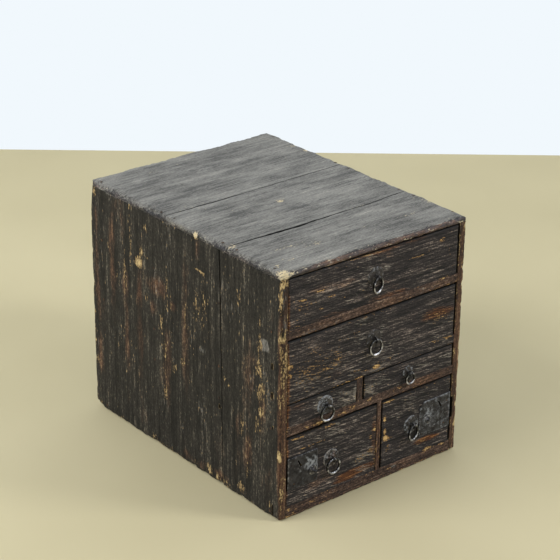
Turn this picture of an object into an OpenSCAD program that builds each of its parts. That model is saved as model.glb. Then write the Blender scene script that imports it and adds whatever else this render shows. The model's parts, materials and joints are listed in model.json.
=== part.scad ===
// Small tansu chest: a nailed board case with six drawers in four rows.
// Case coordinates: X from the left outer face, Y from the front face back, Z up from the floor.

/* [Case] */
// Width over the sides
case_w = 303; // [280:1:380]
// Height from the floor to the top
case_h = 336; // [315:1:420]
// Depth from the front face to the back
case_d = 401; // [300:1:450]
// Thickness of the side boards
side_t = 11; // [9:0.5:16]
// Thickness of the top boards
top_t = 8; // [8:0.5:16]
// Thickness of the bottom board
bottom_t = 17; // [10:0.5:24]
// Thickness of the back board
back_t = 7; // [5:0.5:12]
// Distance of the back board inside the sides' rear edges
back_inset = 1; // [0.5:0.5:5]
// Width of the front one of the three top boards
top_front_w = 106; // [80:1:120]
// Width of the middle one of the three top boards
top_middle_w = 127; // [80:1:140]
// Width of the front one of the two left side boards
left_front_w = 117; // [80:1:180]
// Open joint between two boards of the top or of the left side
board_joint = 0.5; // [0.2:0.1:1.5]

/* [Shelves and dividers] */
// Thickness of the three shelves
shelf_t = 12; // [8:0.5:15]
// How far a shelf enters its groove in each side
shelf_housing = 3; // [1:0.5:5]
// How far a divider enters its groove in each board
divider_housing = 2; // [1:0.5:3]
// Distance from the front where the grooves begin
groove_stop = 12; // [8:1:40]
// Free height of the lower row
lower_row_h = 99; // [90:0.5:105]
// Free height of the row of small drawers
small_row_h = 32.5; // [30:0.5:45]
// Free height of the second row
second_row_h = 74.5; // [50:0.5:85]
// Free width of the small row's left bay
small_left_w = 113.5; // [90:0.5:140]
// Thickness of the small row's divider
small_divider_t = 9.5; // [6:0.5:14]
// Free width of the lower row's left bay
lower_left_w = 149; // [120:0.5:155]
// Thickness of the lower row's divider
lower_divider_t = 7; // [5:0.5:14]

/* [Worn edges] */
// Rounding of the top edges over the sides
top_side_round = 6; // [1:0.5:8]
// Rounding of the top's front edge
top_front_round = 7; // [1:0.5:8]
// Rounding of the top's rear edge
top_rear_round = 6; // [1:0.5:8]
// Rounding of the sides' lower outer edges
foot_round = 5; // [1:0.5:8]
// Rounding of the sides' front lower corners
front_foot_round = 4; // [1:0.5:12]
// Rounding of the sides' rear lower corners
rear_foot_round = 18; // [1:0.5:22]
// Rounding of the four upright corners
corner_round = 3; // [0.5:0.5:8]

/* [Drawers] */
// Thickness of the drawer fronts
front_t = 12; // [8:0.5:18]
// Thickness of the drawer sides
drawer_side_t = 7; // [4:0.5:8]
// Thickness of the drawer backs
drawer_back_t = 7; // [4:0.5:10]
// Thickness of the drawer bottoms
drawer_bottom_t = 5; // [3:0.5:7]
// Depth of the rebate in the front for the sides and the bottom
front_rebate = 5; // [2:0.5:7]
// Free space behind a closed drawer
rear_gap = 4; // [2:0.5:30]
// Running gap under a drawer
under_gap = 0.3; // [0.2:0.1:0.6]
// Gap over a drawer
over_gap = 1.5; // [0.5:0.1:3]
// Gap beside a drawer where it runs close
close_gap = 0.5; // [0.3:0.1:1.5]
// Gap beside a drawer where the front has shrunk
shrunk_gap = 2.6; // [0.5:0.1:3.5]

/* [Pulls] */
// Outside diameter of a ring
ring_d = 23; // [20:0.5:25]
// Wire diameter of a ring
ring_wire_d = 3; // [2:0.1:3.2]
// Outside diameter of the smaller ring on the small right drawer
small_ring_d = 17; // [16:0.5:20]
// Wire diameter of the smaller ring
small_ring_wire_d = 2.6; // [2:0.1:2.8]
// Bore of the staple's eye
eye_bore_d = 4; // [3.9:0.1:5]
// Wire diameter of the staple's eye
eye_wire_d = 1.6; // [1.2:0.1:2]
// Distance of the eye's centre in front of the drawer front
eye_stand = 5.2; // [5.1:0.1:7]
// Diameter of the staple's shank
shank_d = 2.2; // [1.8:0.1:2.6]
// Length of each clinched leg behind the front
clinch_len = 8; // [4:0.5:10]
// Diameter of the round plates
plate_d = 26; // [18:0.5:28]
// Diameter of the round plate of the small right drawer
small_plate_d = 18; // [12:0.5:22]
// Thickness of the round plates
plate_t = 0.8; // [0.5:0.1:1.2]
// Turn of the top drawer's ring about the upright
top_ring_twist = 16; // [0:1:17]
// Turn of the lower right drawer's ring about the upright
lower_ring_twist = 13; // [0:1:17]

/* [Locks] */
// Width of the left lock plate
left_lock_w = 48; // [46:0.5:52]
// Height of the left lock plate
left_lock_h = 45; // [40:0.5:60]
// Width of the right lock plate
right_lock_w = 54; // [46:0.5:55]
// Height of the right lock plate
right_lock_h = 50; // [40:0.5:60]
// Height of the lock plates' lower edge above the bay's floor
lock_rise = 23; // [15:0.5:30]
// Thickness of the lock plates
lock_plate_t = 1; // [0.8:0.1:1.5]
// Radius of the right lock plate's upper inner corner
lock_corner_r = 12; // [2:0.5:16]
// Distance of the keyhole from the lock plate's outer edge
keyhole_in = 18.5; // [14:0.5:22]
// Distance of the keyhole below the lock plate's upper edge
keyhole_down = 11; // [8:0.5:14]
// Width of the keyhole's slot
keyhole_w = 2.2; // [1.5:0.1:3]
// Length of the keyhole's slot
keyhole_len = 9; // [6:0.5:11]
// Lean of the keyhole's slot
keyhole_lean = 28; // [0:1:40]
// Distance of the boss from the lock plate's outer edge
boss_in = 40; // [36:0.5:40]
// Distance of the boss below the lock plate's upper edge
boss_down = 28; // [22:0.5:29]
// Diameter of the boss
boss_d = 13; // [8:0.5:15]
// Height of the boss on the plate
boss_h = 1.2; // [0.5:0.1:2]
// Diameter of the studs
stud_d = 3.6; // [2:0.1:5]
// Distance that the left stud stands in front of the drawer front
left_stud_reach = 8.6; // [3:0.1:8.6]
// Distance that the right stud stands in front of the drawer front
right_stud_reach = 4.2; // [3:0.1:8.6]
// Height of a lock bolt
bolt_h = 12; // [6:0.5:16]
// Thickness of a lock bolt
bolt_t = 3; // [2:0.1:4]
// Length of a lock bolt
bolt_len = 28; // [18:0.5:30]
// Distance that a bolt slides into the side
bolt_throw = 5.5; // [4:0.1:6]
// Sliding gap round a bolt
bolt_gap = 0.3; // [0.2:0.1:0.5]
// Height of the bolt's centre above the bay's floor
bolt_rise = 49; // [42:0.5:55]
// Distance of the bolts' front face behind the drawer fronts' face
bolt_set = 3; // [1:0.1:3.5]
// Depth of the cut in the left drawer front's edge beside its lock
edge_notch = 2.4; // [0.5:0.1:3]
// Depth of the strike cut in the right side
strike_cut = 3; // [1:0.1:4]
// Height of the strike cut in the right side
strike_h = 30; // [20:0.5:40]

/* [Nails] */
// Thickness of the square nails
nail_t = 2; // [1.5:0.1:2.6]
// Length of the nails
nail_len = 22; // [18:0.5:30]
// Width of the nail heads
nail_head_w = 4; // [3:0.1:5]
// Thickness of the nail heads
nail_head_t = 0.8; // [0.4:0.1:1.2]
// Distance of the first row of side nails from the front
nail_front = 18; // [15:0.5:25]
// Distance of the side nails above the middle of a shelf
nail_lift = 3; // [0:0.1:3.4]

/* [Hidden] */
$fn = 64;
eps = 0.01;

// Outer radius of the eye, and how far the pulls stand in front of the case.
eye_outer_r = eye_bore_d / 2 + eye_wire_d;
ring_r = (ring_d - ring_wire_d) / 2;
small_ring_r = (small_ring_d - small_ring_wire_d) / 2;
twist_reach = ring_r * sin(max(top_ring_twist, lower_ring_twist)) + ring_wire_d / 2;
reach = max(eye_stand + max(eye_outer_r, twist_reach), left_stud_reach, right_stud_reach);
// The origin is the middle of the whole chest's base, with the pulls counted in its depth.
front_y = (reach - case_d) / 2;

// Levels and faces of the case.
inner_x0 = side_t;
inner_x1 = case_w - side_t;
z_lower_shelf = bottom_t + lower_row_h;
z_small_row = z_lower_shelf + shelf_t;
z_middle_shelf = z_small_row + small_row_h;
z_second_row = z_middle_shelf + shelf_t;
z_upper_shelf = z_second_row + second_row_h;
z_top_row = z_upper_shelf + shelf_t;
z_top = case_h - top_t;
back_y = case_d - back_inset - back_t;
small_divider_x = inner_x0 + small_left_w;
lower_divider_x = inner_x0 + lower_left_w;
drawer_len = back_y - rear_gap;

// The right lock stands at its drawer's edge, and that drawer's pull stands beside the lock.
lock_edge = 0.5;
lock_edge_r = 2;
pull_lock_gap = 1.4;
right_lock_x = inner_x1 - shrunk_gap - lock_edge - right_lock_w;
lower_right_pull_x = right_lock_x - pull_lock_gap - plate_d / 2;
lower_right_middle = (lower_divider_x + lower_divider_t + inner_x1) / 2;

// One line for each drawer: name, bay from x to x and z to z, gap at its left and right,
// the staple's distance from the bay's middle along x and z, ring and plate sizes, twist.
full = [ring_r, ring_wire_d, plate_d];
small = [small_ring_r, small_ring_wire_d, small_plate_d];
DRAWERS = [
    ["top_drawer", inner_x0, inner_x1, z_top_row, z_top,
        close_gap, shrunk_gap, -2, 0, full, top_ring_twist],
    ["second_drawer", inner_x0, inner_x1, z_second_row, z_upper_shelf,
        close_gap, shrunk_gap, -2, -1, full, 0],
    ["small_left_drawer", inner_x0, small_divider_x, z_small_row, z_middle_shelf,
        close_gap, close_gap, 4, -2.5, full, 0],
    ["small_right_drawer", small_divider_x + small_divider_t, inner_x1, z_small_row, z_middle_shelf,
        shrunk_gap, shrunk_gap, -2, -1, small, 0],
    ["lower_left_drawer", inner_x0, lower_divider_x, bottom_t, z_lower_shelf,
        close_gap, close_gap, -2, -3.5, full, 0],
    ["lower_right_drawer", lower_divider_x + lower_divider_t, inner_x1, bottom_t, z_lower_shelf,
        shrunk_gap, shrunk_gap, lower_right_pull_x - lower_right_middle, -2.5, full, lower_ring_twist],
];
LOWER_LEFT = 4;
LOWER_RIGHT = 5;
function drawer_x0(i) = DRAWERS[i][1] + DRAWERS[i][5];
function drawer_x1(i) = DRAWERS[i][2] - DRAWERS[i][6];
function drawer_z0(i) = DRAWERS[i][3] + under_gap;
function drawer_w(i) = drawer_x1(i) - drawer_x0(i);
function drawer_h(i) = DRAWERS[i][4] - over_gap - drawer_z0(i);
function pull_x(i) = (DRAWERS[i][1] + DRAWERS[i][2]) / 2 + DRAWERS[i][7];
function pull_z(i) = (DRAWERS[i][3] + DRAWERS[i][4]) / 2 + DRAWERS[i][8];
function pull_ring_r(i) = DRAWERS[i][9][0];
function pull_wire_d(i) = DRAWERS[i][9][1];
function pull_plate_d(i) = DRAWERS[i][9][2];
function ring_twist(i) = DRAWERS[i][10];

// The locks: the left plate's edge, each bolt's left end, their middle's height, their slots' depth.
left_lock_x = drawer_x0(LOWER_LEFT) + edge_notch / 2;
lock_nail_in = 4;
left_bolt_x = drawer_x0(LOWER_LEFT) + edge_notch;
right_bolt_x = drawer_x1(LOWER_RIGHT) - lock_edge - bolt_len;
bolt_z = bottom_t + bolt_rise;
bolt_back_y = bolt_set + bolt_t + bolt_gap;

// Case nails: how far they stand from a joint, an end or an edge, and their places along each face.
side_nail_joint = 4;
side_nail_rear = 26;
top_nail_end = 20;
top_nail_joint = 14;
back_nail_in = 30;
side_nail_y = [nail_front, left_front_w + side_nail_joint, (left_front_w + case_d) / 2,
    case_d - side_nail_rear];
side_nail_z = concat([bottom_t / 2],
    [for (z = [z_lower_shelf, z_middle_shelf, z_upper_shelf]) z + shelf_t / 2 + nail_lift]);
top_middle_y = top_front_w + top_middle_w;
top_nail_y = concat([top_nail_end],
    [for (y = [top_front_w, top_middle_y], d = [-top_nail_joint, top_nail_joint]) y + d],
    [case_d - top_nail_end]);
top_nail_x = [side_t * 0.55, case_w - side_t * 0.55];
back_nail_x = [inner_x0 + back_nail_in, case_w / 2, inner_x1 - back_nail_in];
back_nail_z = concat([bottom_t / 2],
    [for (z = [z_lower_shelf, z_middle_shelf, z_upper_shelf]) z + shelf_t / 2]);

PARTS = ["front", "sides", "back", "bottom", "plate", "staple", "ring"];

STAIN = "#2b2521";
STAIN_TOP = "#77736c";
RAIL = "#4a3527";
BARE = "#8a6f4d";
IRON = "#3a3a3b";
RUST = "#5a4a3c";

// Moves a piece from case coordinates to the origin at the middle of the chest's base.
module place() {
    translate([-case_w / 2, front_y, 0]) children();
}

// What a rounding takes off one corner of a square, with the corner at the origin.
module corner_bit(r) {
    difference() {
        translate([-1, -1]) square(r + 1);
        translate([r, r]) circle(r);
    }
}

// A w by h outline whose corners are rounded, counted from the origin anticlockwise.
module worn_outline(w, h, r) {
    difference() {
        square([w, h]);
        corner_bit(r[0]);
        translate([w, 0]) rotate(90) corner_bit(r[1]);
        translate([w, h]) rotate(180) corner_bit(r[2]);
        translate([0, h]) rotate(270) corner_bit(r[3]);
    }
}

// The worn outer form of the case, which its outer boards are cut to.
module worn_form() {
    intersection() {
        translate([0, case_d, 0]) rotate([90, 0, 0]) linear_extrude(case_d)
            worn_outline(case_w, case_h, [foot_round, foot_round, top_side_round, top_side_round]);
        rotate([90, 0, 90]) linear_extrude(case_w)
            worn_outline(case_d, case_h,
                [front_foot_round, rear_foot_round, top_rear_round, top_front_round]);
        linear_extrude(case_h)
            worn_outline(case_w, case_d, [corner_round, corner_round, corner_round, corner_round]);
    }
}

// One square nail along +Z, its head's face at the origin.
module nail() {
    translate([-nail_head_w / 2, -nail_t * 0.75, 0])
        cube([nail_head_w, nail_t * 1.5, nail_head_t]);
    translate([-nail_t / 2, -nail_t / 2, nail_head_t - eps])
        cube([nail_t, nail_t, nail_len - nail_head_t]);
}

module all_nails() {
    for (y = side_nail_y, z = side_nail_z) {
        translate([0, y, z]) rotate([0, 90, 0]) nail();
        translate([case_w, y, z]) rotate([0, -90, 0]) nail();
    }
    for (y = top_nail_y, x = top_nail_x)
        translate([x, y, case_h]) rotate([180, 0, 90]) nail();
    for (x = back_nail_x, z = back_nail_z)
        translate([x, back_y + back_t, z]) rotate([90, 0, 0]) nail();
}

module case_nails() {
    color(RUST) place() all_nails();
}

// A top board that covers the case from y0 to y1.
module top_board(y0, y1) {
    color(STAIN_TOP) place() difference() {
        intersection() {
            worn_form();
            translate([0, y0, z_top]) cube([case_w, y1 - y0, top_t]);
        }
        all_nails();
    }
}

// A shelf: its front edge fits between the sides, and behind groove_stop it enters them.
module shelf_block(z) {
    translate([inner_x0, 0, z]) cube([inner_x1 - inner_x0, back_y, shelf_t]);
    translate([inner_x0 - shelf_housing, groove_stop, z])
        cube([inner_x1 - inner_x0 + 2 * shelf_housing, back_y - groove_stop, shelf_t]);
}

// A divider between two boards, from z0 to z1, which enters both behind groove_stop.
module divider_block(x, t, z0, z1) {
    translate([x, 0, z0]) cube([t, back_y, z1 - z0]);
    translate([x, groove_stop, z0 - divider_housing])
        cube([t, back_y - groove_stop, z1 - z0 + 2 * divider_housing]);
}

module small_divider_block() {
    divider_block(small_divider_x, small_divider_t, z_small_row, z_middle_shelf);
}

module lower_divider_block() {
    divider_block(lower_divider_x, lower_divider_t, bottom_t, z_lower_shelf);
}

module dividers() {
    small_divider_block();
    lower_divider_block();
}

module shelf(z) {
    color(RAIL) place() difference() {
        shelf_block(z);
        dividers();
        all_nails();
    }
}

module bottom_board() {
    color(RAIL) place() difference() {
        translate([inner_x0, 0, 0]) cube([inner_x1 - inner_x0, back_y, bottom_t]);
        dividers();
        all_nails();
    }
}

module back_board() {
    color(STAIN) place() difference() {
        translate([inner_x0, back_y, 0]) cube([inner_x1 - inner_x0, back_t, z_top]);
        all_nails();
    }
}

// The pocket in a side that a thrown bolt enters, from the inner face at x along the way dir.
module bolt_pocket(x, dir) {
    depth = bolt_throw + 1;
    translate([dir > 0 ? x - eps : x - depth, bolt_set - bolt_gap, bolt_z - bolt_h / 2 - bolt_gap])
        cube([depth + eps, bolt_t + 2 * bolt_gap, bolt_h + 2 * bolt_gap]);
}

// What every side board is cut from: x0 is its outer-left face, and it runs from y0 to y1.
module side_board(x0, y0, y1) {
    color(STAIN) place() difference() {
        intersection() {
            worn_form();
            translate([x0, y0, 0]) cube([side_t, y1 - y0, z_top]);
        }
        for (z = [z_lower_shelf, z_middle_shelf, z_upper_shelf]) shelf_block(z);
        all_nails();
        bolt_pocket(inner_x0, -1);
        bolt_pocket(inner_x1, 1);
        translate([inner_x1 - eps, -1, bolt_z - strike_h / 2])
            cube([strike_cut + eps, 1 + bolt_back_y, strike_h]);
    }
}

// A drawer front with rebates behind it for the sides and the bottom.
module drawer_front(i) {
    z0 = drawer_z0(i);
    behind = front_t - front_rebate;
    color(STAIN) place() difference() {
        translate([drawer_x0(i), 0, z0]) cube([drawer_w(i), front_t, drawer_h(i)]);
        for (x = [drawer_x0(i) - 1, drawer_x1(i) - drawer_side_t])
            translate([x, behind, z0 - 1]) cube([drawer_side_t + 1, front_t, drawer_h(i) + 2]);
        translate([drawer_x0(i) - 1, behind, z0 - 1])
            cube([drawer_w(i) + 2, front_t, drawer_bottom_t + 1]);
        translate([pull_x(i), -1, pull_z(i)]) rotate([-90, 0, 0]) cylinder(h = front_t + 2, d = shank_d);
        if (i == LOWER_LEFT) {
            translate([drawer_x0(i) - 1, -1, bottom_t + lock_rise - 2])
                cube([1 + edge_notch, front_t + 2, left_lock_h + 6]);
            bolt_slot(drawer_x0(i) - 1, left_bolt_x + bolt_len + bolt_gap);
        }
        if (i == LOWER_RIGHT)
            bolt_slot(right_bolt_x - bolt_gap, drawer_x1(i) + 1);
    }
}

// The slot in a drawer front that a bolt slides in, covered by the lock plate.
module bolt_slot(x0, x1) {
    translate([x0, -1, bolt_z - bolt_h / 2 - bolt_gap])
        cube([x1 - x0, 1 + bolt_back_y, bolt_h + 2 * bolt_gap]);
}

module drawer_sides(i) {
    behind = front_t - front_rebate;
    color(BARE) place()
        for (x = [drawer_x0(i), drawer_x1(i) - drawer_side_t])
            translate([x, behind, drawer_z0(i) + drawer_bottom_t])
                cube([drawer_side_t, drawer_len - behind, drawer_h(i) - drawer_bottom_t]);
}

module drawer_back(i) {
    color(BARE) place()
        translate([drawer_x0(i) + drawer_side_t, drawer_len - drawer_back_t, drawer_z0(i) + drawer_bottom_t])
            cube([drawer_w(i) - 2 * drawer_side_t, drawer_back_t, drawer_h(i) - drawer_bottom_t - 1]);
}

module drawer_bottom(i) {
    behind = front_t - front_rebate;
    color(BARE) place()
        translate([drawer_x0(i), behind, drawer_z0(i)])
            cube([drawer_w(i), drawer_len - behind, drawer_bottom_t]);
}

// A round iron plate with a low rounded rim, pierced for the staple.
module pull_plate(i) {
    r = pull_plate_d(i) / 2;
    color(RUST) place() translate([pull_x(i), 0, pull_z(i)]) rotate([90, 0, 0]) difference() {
        rotate_extrude() {
            square([r - plate_t, plate_t]);
            intersection() {
                translate([r - plate_t, 0]) circle(plate_t);
                square([r, plate_t]);
            }
        }
        translate([0, 0, -1]) cylinder(h = plate_t + 2, d = shank_d);
    }
}

// The staple: an eye that stands upright, a shank through the front, and legs clinched behind it.
module staple(i) {
    leg_y = front_t + eye_wire_d / 2 + 0.05;
    eye_mid_r = (eye_bore_d + eye_wire_d) / 2;
    color(IRON) place() translate([pull_x(i), 0, pull_z(i)]) {
        translate([0, -eye_stand, 0]) rotate([0, 90, 0]) rotate_extrude()
            translate([eye_mid_r, 0]) circle(d = eye_wire_d);
        translate([0, -eye_stand + eye_mid_r, 0]) rotate([-90, 0, 0])
            cylinder(h = leg_y + eye_stand - eye_mid_r, d = shank_d);
        translate([0, leg_y, -clinch_len]) cylinder(h = 2 * clinch_len, d = eye_wire_d);
    }
}

// A ring that hangs in the staple's eye, turned about the upright by its twist.
module pull_ring(i) {
    r = pull_ring_r(i);
    color(IRON) place() translate([pull_x(i), -eye_stand, pull_z(i) - r])
        rotate([0, 0, ring_twist(i)]) rotate([90, 0, 0]) rotate_extrude()
            translate([r, 0]) circle(d = pull_wire_d(i));
}

// The outline of a lock plate, its outer edge at x = 0 and its inner edge at x = w.
module lock_outline(w, h, r, lean) {
    difference() {
        worn_outline(w, h, [lock_edge_r, lock_edge_r, r, lock_edge_r]);
        translate([keyhole_in, h - keyhole_down]) rotate(lean) {
            square([keyhole_w, keyhole_len], center = true);
            translate([0, -keyhole_len / 2]) circle(d = keyhole_w * 1.5);
        }
    }
}

// A lock plate with its boss and stud, its outer lower corner at the origin, facing +Z.
module lock_plate(w, h, r, lean, stud_reach) {
    color(IRON) {
        linear_extrude(lock_plate_t) lock_outline(w, h, r, lean);
        translate([boss_in, h - boss_down, 0]) {
            cylinder(h = lock_plate_t + boss_h, d = boss_d);
            cylinder(h = stud_reach, d = stud_d);
        }
        for (at = [[lock_nail_in, lock_nail_in], [w - lock_nail_in, lock_nail_in],
                   [lock_nail_in, h - lock_nail_in]])
            translate([at[0], at[1], 0]) cylinder(h = lock_plate_t + 0.5, d = nail_t);
    }
}

module left_lock_plate() {
    place() translate([left_lock_x, 0, bottom_t + lock_rise]) rotate([90, 0, 0])
        lock_plate(left_lock_w, left_lock_h, lock_edge_r, keyhole_lean, left_stud_reach);
}

module right_lock_plate() {
    place() translate([right_lock_x + right_lock_w, 0, bottom_t + lock_rise])
        mirror([1, 0, 0]) rotate([90, 0, 0])
            lock_plate(right_lock_w, right_lock_h, lock_corner_r, -keyhole_lean, right_stud_reach);
}

// A flat bolt behind its plate, from x to x + bolt_len.
module lock_bolt(x) {
    color(IRON) place() translate([x, bolt_set, bolt_z - bolt_h / 2]) cube([bolt_len, bolt_t, bolt_h]);
}

top_board(0, top_front_w - board_joint / 2);  // top_board_front
top_board(top_front_w + board_joint / 2, top_middle_y - board_joint / 2);  // top_board_middle
top_board(top_middle_y + board_joint / 2, case_d);  // top_board_rear
side_board(0, 0, left_front_w - board_joint / 2);  // left_side_front
side_board(0, left_front_w + board_joint / 2, case_d);  // left_side_rear
side_board(inner_x1, 0, case_d);  // right_side
bottom_board();
shelf(z_upper_shelf);  // upper_shelf
shelf(z_middle_shelf);  // middle_shelf
shelf(z_lower_shelf);  // lower_shelf
color(RAIL) place() small_divider_block();  // small_divider
color(RAIL) place() lower_divider_block();  // lower_divider
back_board();
case_nails();
left_lock_plate();
lock_bolt(left_bolt_x);  // left_lock_bolt
right_lock_plate();
lock_bolt(right_bolt_x);  // right_lock_bolt
for (i = [0 : len(DRAWERS) - 1]) {
    name = DRAWERS[i][0];
    drawer_front(i);
    drawer_sides(i);
    drawer_back(i);
    drawer_bottom(i);
    pull_plate(i);
    staple(i);
    pull_ring(i);
}
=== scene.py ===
# %% [markdown]
# # A small worn tansu chest
#
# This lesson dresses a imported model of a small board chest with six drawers. The model gives the exact
# place of every board, plate and ring. Each step here swaps a plain solid for one that looks used: arrises
# rubbed round, stain worn through to bare wood, dust on the top and old iron on the drawers.

# %% Load the frame
import json
import math
from functools import partial

import bmesh
import bpy
import numpy as np
from mathutils import Matrix, Vector

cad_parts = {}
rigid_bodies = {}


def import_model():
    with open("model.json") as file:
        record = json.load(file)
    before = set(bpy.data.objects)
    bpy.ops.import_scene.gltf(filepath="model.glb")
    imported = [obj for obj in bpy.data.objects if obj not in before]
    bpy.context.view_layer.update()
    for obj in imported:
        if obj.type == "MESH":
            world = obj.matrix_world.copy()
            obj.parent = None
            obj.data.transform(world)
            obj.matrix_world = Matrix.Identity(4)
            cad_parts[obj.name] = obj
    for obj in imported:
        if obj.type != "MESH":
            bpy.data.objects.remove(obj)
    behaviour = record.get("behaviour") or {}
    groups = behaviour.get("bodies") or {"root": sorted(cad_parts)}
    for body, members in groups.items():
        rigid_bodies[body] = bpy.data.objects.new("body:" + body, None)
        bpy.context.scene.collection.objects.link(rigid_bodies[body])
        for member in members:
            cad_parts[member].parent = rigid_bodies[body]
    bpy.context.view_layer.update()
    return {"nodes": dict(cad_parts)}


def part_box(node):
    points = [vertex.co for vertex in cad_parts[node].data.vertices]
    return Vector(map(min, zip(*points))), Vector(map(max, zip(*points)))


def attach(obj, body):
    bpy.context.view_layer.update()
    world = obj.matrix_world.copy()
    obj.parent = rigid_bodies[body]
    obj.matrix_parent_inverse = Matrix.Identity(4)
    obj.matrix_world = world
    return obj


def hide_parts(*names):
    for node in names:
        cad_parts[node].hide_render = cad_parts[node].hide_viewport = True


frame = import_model()

# %% [markdown]
# Blender works in metres from the middle of the chest's base. A cabinet maker measures from a corner, in
# millimetres, and the wear below is placed that way too: x from the left face, y from the front face back,
# z up from the floor. Two small functions change between the two systems, and the corner itself comes from
# the left side board, so the numbers follow the model.

# %% Measure from the corner of the case
CORNER = np.array(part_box("left_side_front")[0])


def box_mm(*nodes):
    """The lowest and highest corner of one or more nodes, in case millimetres."""
    corners = np.array([[tuple(p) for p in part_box(n)] for n in nodes])
    return (corners[:, 0].min(0) - CORNER) * 1000, (corners[:, 1].max(0) - CORNER) * 1000


def metres(points):
    """Case millimetres to Blender metres."""
    return np.asarray(points, dtype=float) / 1000 + CORNER


CASE_W = box_mm("right_side")[1][0]
CASE_D = box_mm("right_side")[1][1]
CASE_H = box_mm("top_board_front")[1][2]
print("case in mm:", round(CASE_W, 1), round(CASE_D, 1), round(CASE_H, 1))

# %% [markdown]
# A long lens from well back gives the calm, nearly parallel lines of a catalogue picture. The camera looks
# from the front left and a little above, which shows the front, the left side and the top at once. Its
# turning angles become a small matrix of three directions: right, up and backwards.

# %% Set up the camera
def show(thing):
    """Puts an object into the scene."""
    bpy.context.scene.collection.objects.link(thing)


YAW, PITCH, ROLL = math.radians(39.60), math.radians(24.04), math.radians(-0.62)
CAMERA_PLACE = (-1.3998, -1.7018, 1.2024)
forward = Vector((math.sin(YAW) * math.cos(PITCH), math.cos(YAW) * math.cos(PITCH), -math.sin(PITCH)))
level_right = Vector((math.cos(YAW), -math.sin(YAW), 0))
level_down = forward.cross(level_right)
right = math.cos(ROLL) * level_right + math.sin(ROLL) * level_down
up = math.sin(ROLL) * level_right - math.cos(ROLL) * level_down

lens = bpy.data.cameras.new("long_lens")
lens.lens = 117.8
lens.sensor_width = 36
camera = bpy.data.objects.new("camera", lens)
aim = Matrix((right, up, -forward)).transposed().to_4x4()
camera.matrix_world = Matrix.Translation(CAMERA_PLACE) @ aim
show(camera)
bpy.context.scene.camera = camera
print("camera is", round(camera.location.length, 2), "m from the middle of the base")

# %% [markdown]
# Colours are written as the hex values that a picture editor shows. A shader works with linear light, so
# one function turns them. A second small function adds a node to a material. It reads one dictionary: a
# property such as the kind of noise, a value for an input, another node to link from, or a list of weights
# and patterns that are added up first. With these two, a material reads as a list of what is in it.

# %% Colour and node helpers
def colour(hex_value):
    """An sRGB hex value as linear red, green, blue and alpha."""
    parts = [int(hex_value[i:i + 2], 16) / 255 for i in (1, 3, 5)]
    return (*[c / 12.92 if c <= 0.04045 else ((c + 0.055) / 1.055) ** 2.4 for c in parts], 1.0)


def add(tree, kind, settings):
    """Adds a node. Inputs go by name, or by number where several share one. A ramp lists (place, colour)
    pairs, and an input can list (weight, pattern) pairs to be summed."""
    node = tree.nodes.new(kind)
    for name, value in settings.items():
        if name == "ramp":
            stops = node.color_ramp.elements
            while len(stops) < len(value):
                stops.new(0.5)
            for stop, (place, tint) in zip(stops, value):
                stop.position, stop.color = place, colour(tint)
        elif isinstance(name, str) and hasattr(node, name):
            setattr(node, name, value)
        else:
            into = node.inputs[name] if isinstance(name, int) else next(
                s for s in node.inputs if s.enabled and s.name == name)
            if isinstance(value, list):
                terms, value = value, 0.0
                for weight, pattern in terms:
                    value = add(tree, "ShaderNodeMath",
                                {"operation": "MULTIPLY_ADD", 0: pattern, 1: weight, 2: value})
            if isinstance(value, bpy.types.Node):
                value = next(s for s in value.outputs if s.enabled)
            if isinstance(value, bpy.types.NodeSocket):
                tree.links.new(value, into)
            else:
                into.default_value = value
    return node


def coat(tree, under, over, pattern, low, high, most=1.0):
    """Lays one colour over another where a pattern rises from low to high. Gives the colour and the mask."""
    mask = add(tree, "ShaderNodeMapRange", {"interpolation_type": "SMOOTHSTEP", "Value": pattern,
                                            "From Min": low, "From Max": high, "To Max": most})
    return add(tree, "ShaderNodeMix", {"data_type": "RGBA", "Factor": mask, "A": under, "B": over}), mask


def new_material(name):
    material = bpy.data.materials.new(name)
    material.use_nodes = True
    material.node_tree.nodes.clear()
    return material, material.node_tree


print("white is", [round(c, 3) for c in colour("#ffffff")])

# %% [markdown]
# The setting is a plain pale floor and a white wall. The wall is bright only to the camera and to
# reflections, so it gives the chest's top its grey sheen without throwing extra light on it. Seen from
# behind, the wall lets the view through, so the chest can be looked at from every side.

# %% Floor and wall
def turn(degrees, axis):
    """A turn about one axis, as a matrix."""
    return Matrix.Rotation(math.radians(degrees), 4, axis)


def stage_sheet(name, size, material, matrix):
    """A flat square of the given half width."""
    bm = bmesh.new()
    bmesh.ops.create_grid(bm, x_segments=1, y_segments=1, size=size)
    bmesh.ops.transform(bm, matrix=matrix, verts=bm.verts)
    mesh = bpy.data.meshes.new(name)
    bm.to_mesh(mesh)
    bm.free()
    mesh.materials.append(material)
    sheet = bpy.data.objects.new(name, mesh)
    show(sheet)


def seen_rays(tree):
    """1 for rays from the camera, also those that were mirrored or went through something."""
    rays = add(tree, "ShaderNodeLightPath", {}).outputs
    seen = add(tree, "ShaderNodeMath",
               {"operation": "MAXIMUM", 0: rays["Is Camera Ray"], 1: rays["Is Glossy Ray"]})
    return add(tree, "ShaderNodeMath", {"operation": "MAXIMUM", 0: seen, 1: rays["Is Transmission Ray"]})


floor_paint, tree = new_material("pale_matt_floor_paint")
place = add(tree, "ShaderNodeTexCoord", {}).outputs["Object"]
spread = add(tree, "ShaderNodeTexNoise", {"Scale": 2.2, "Detail": 2.0, "Vector": place})
tint = add(tree, "ShaderNodeValToRGB", {"ramp": [(0.3, "#c0b794"), (0.7, "#cac19e")], "Fac": spread})
surface = add(tree, "ShaderNodeBsdfPrincipled", {"Roughness": 0.75, "Base Color": tint})
add(tree, "ShaderNodeOutputMaterial", {"Surface": surface})

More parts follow.
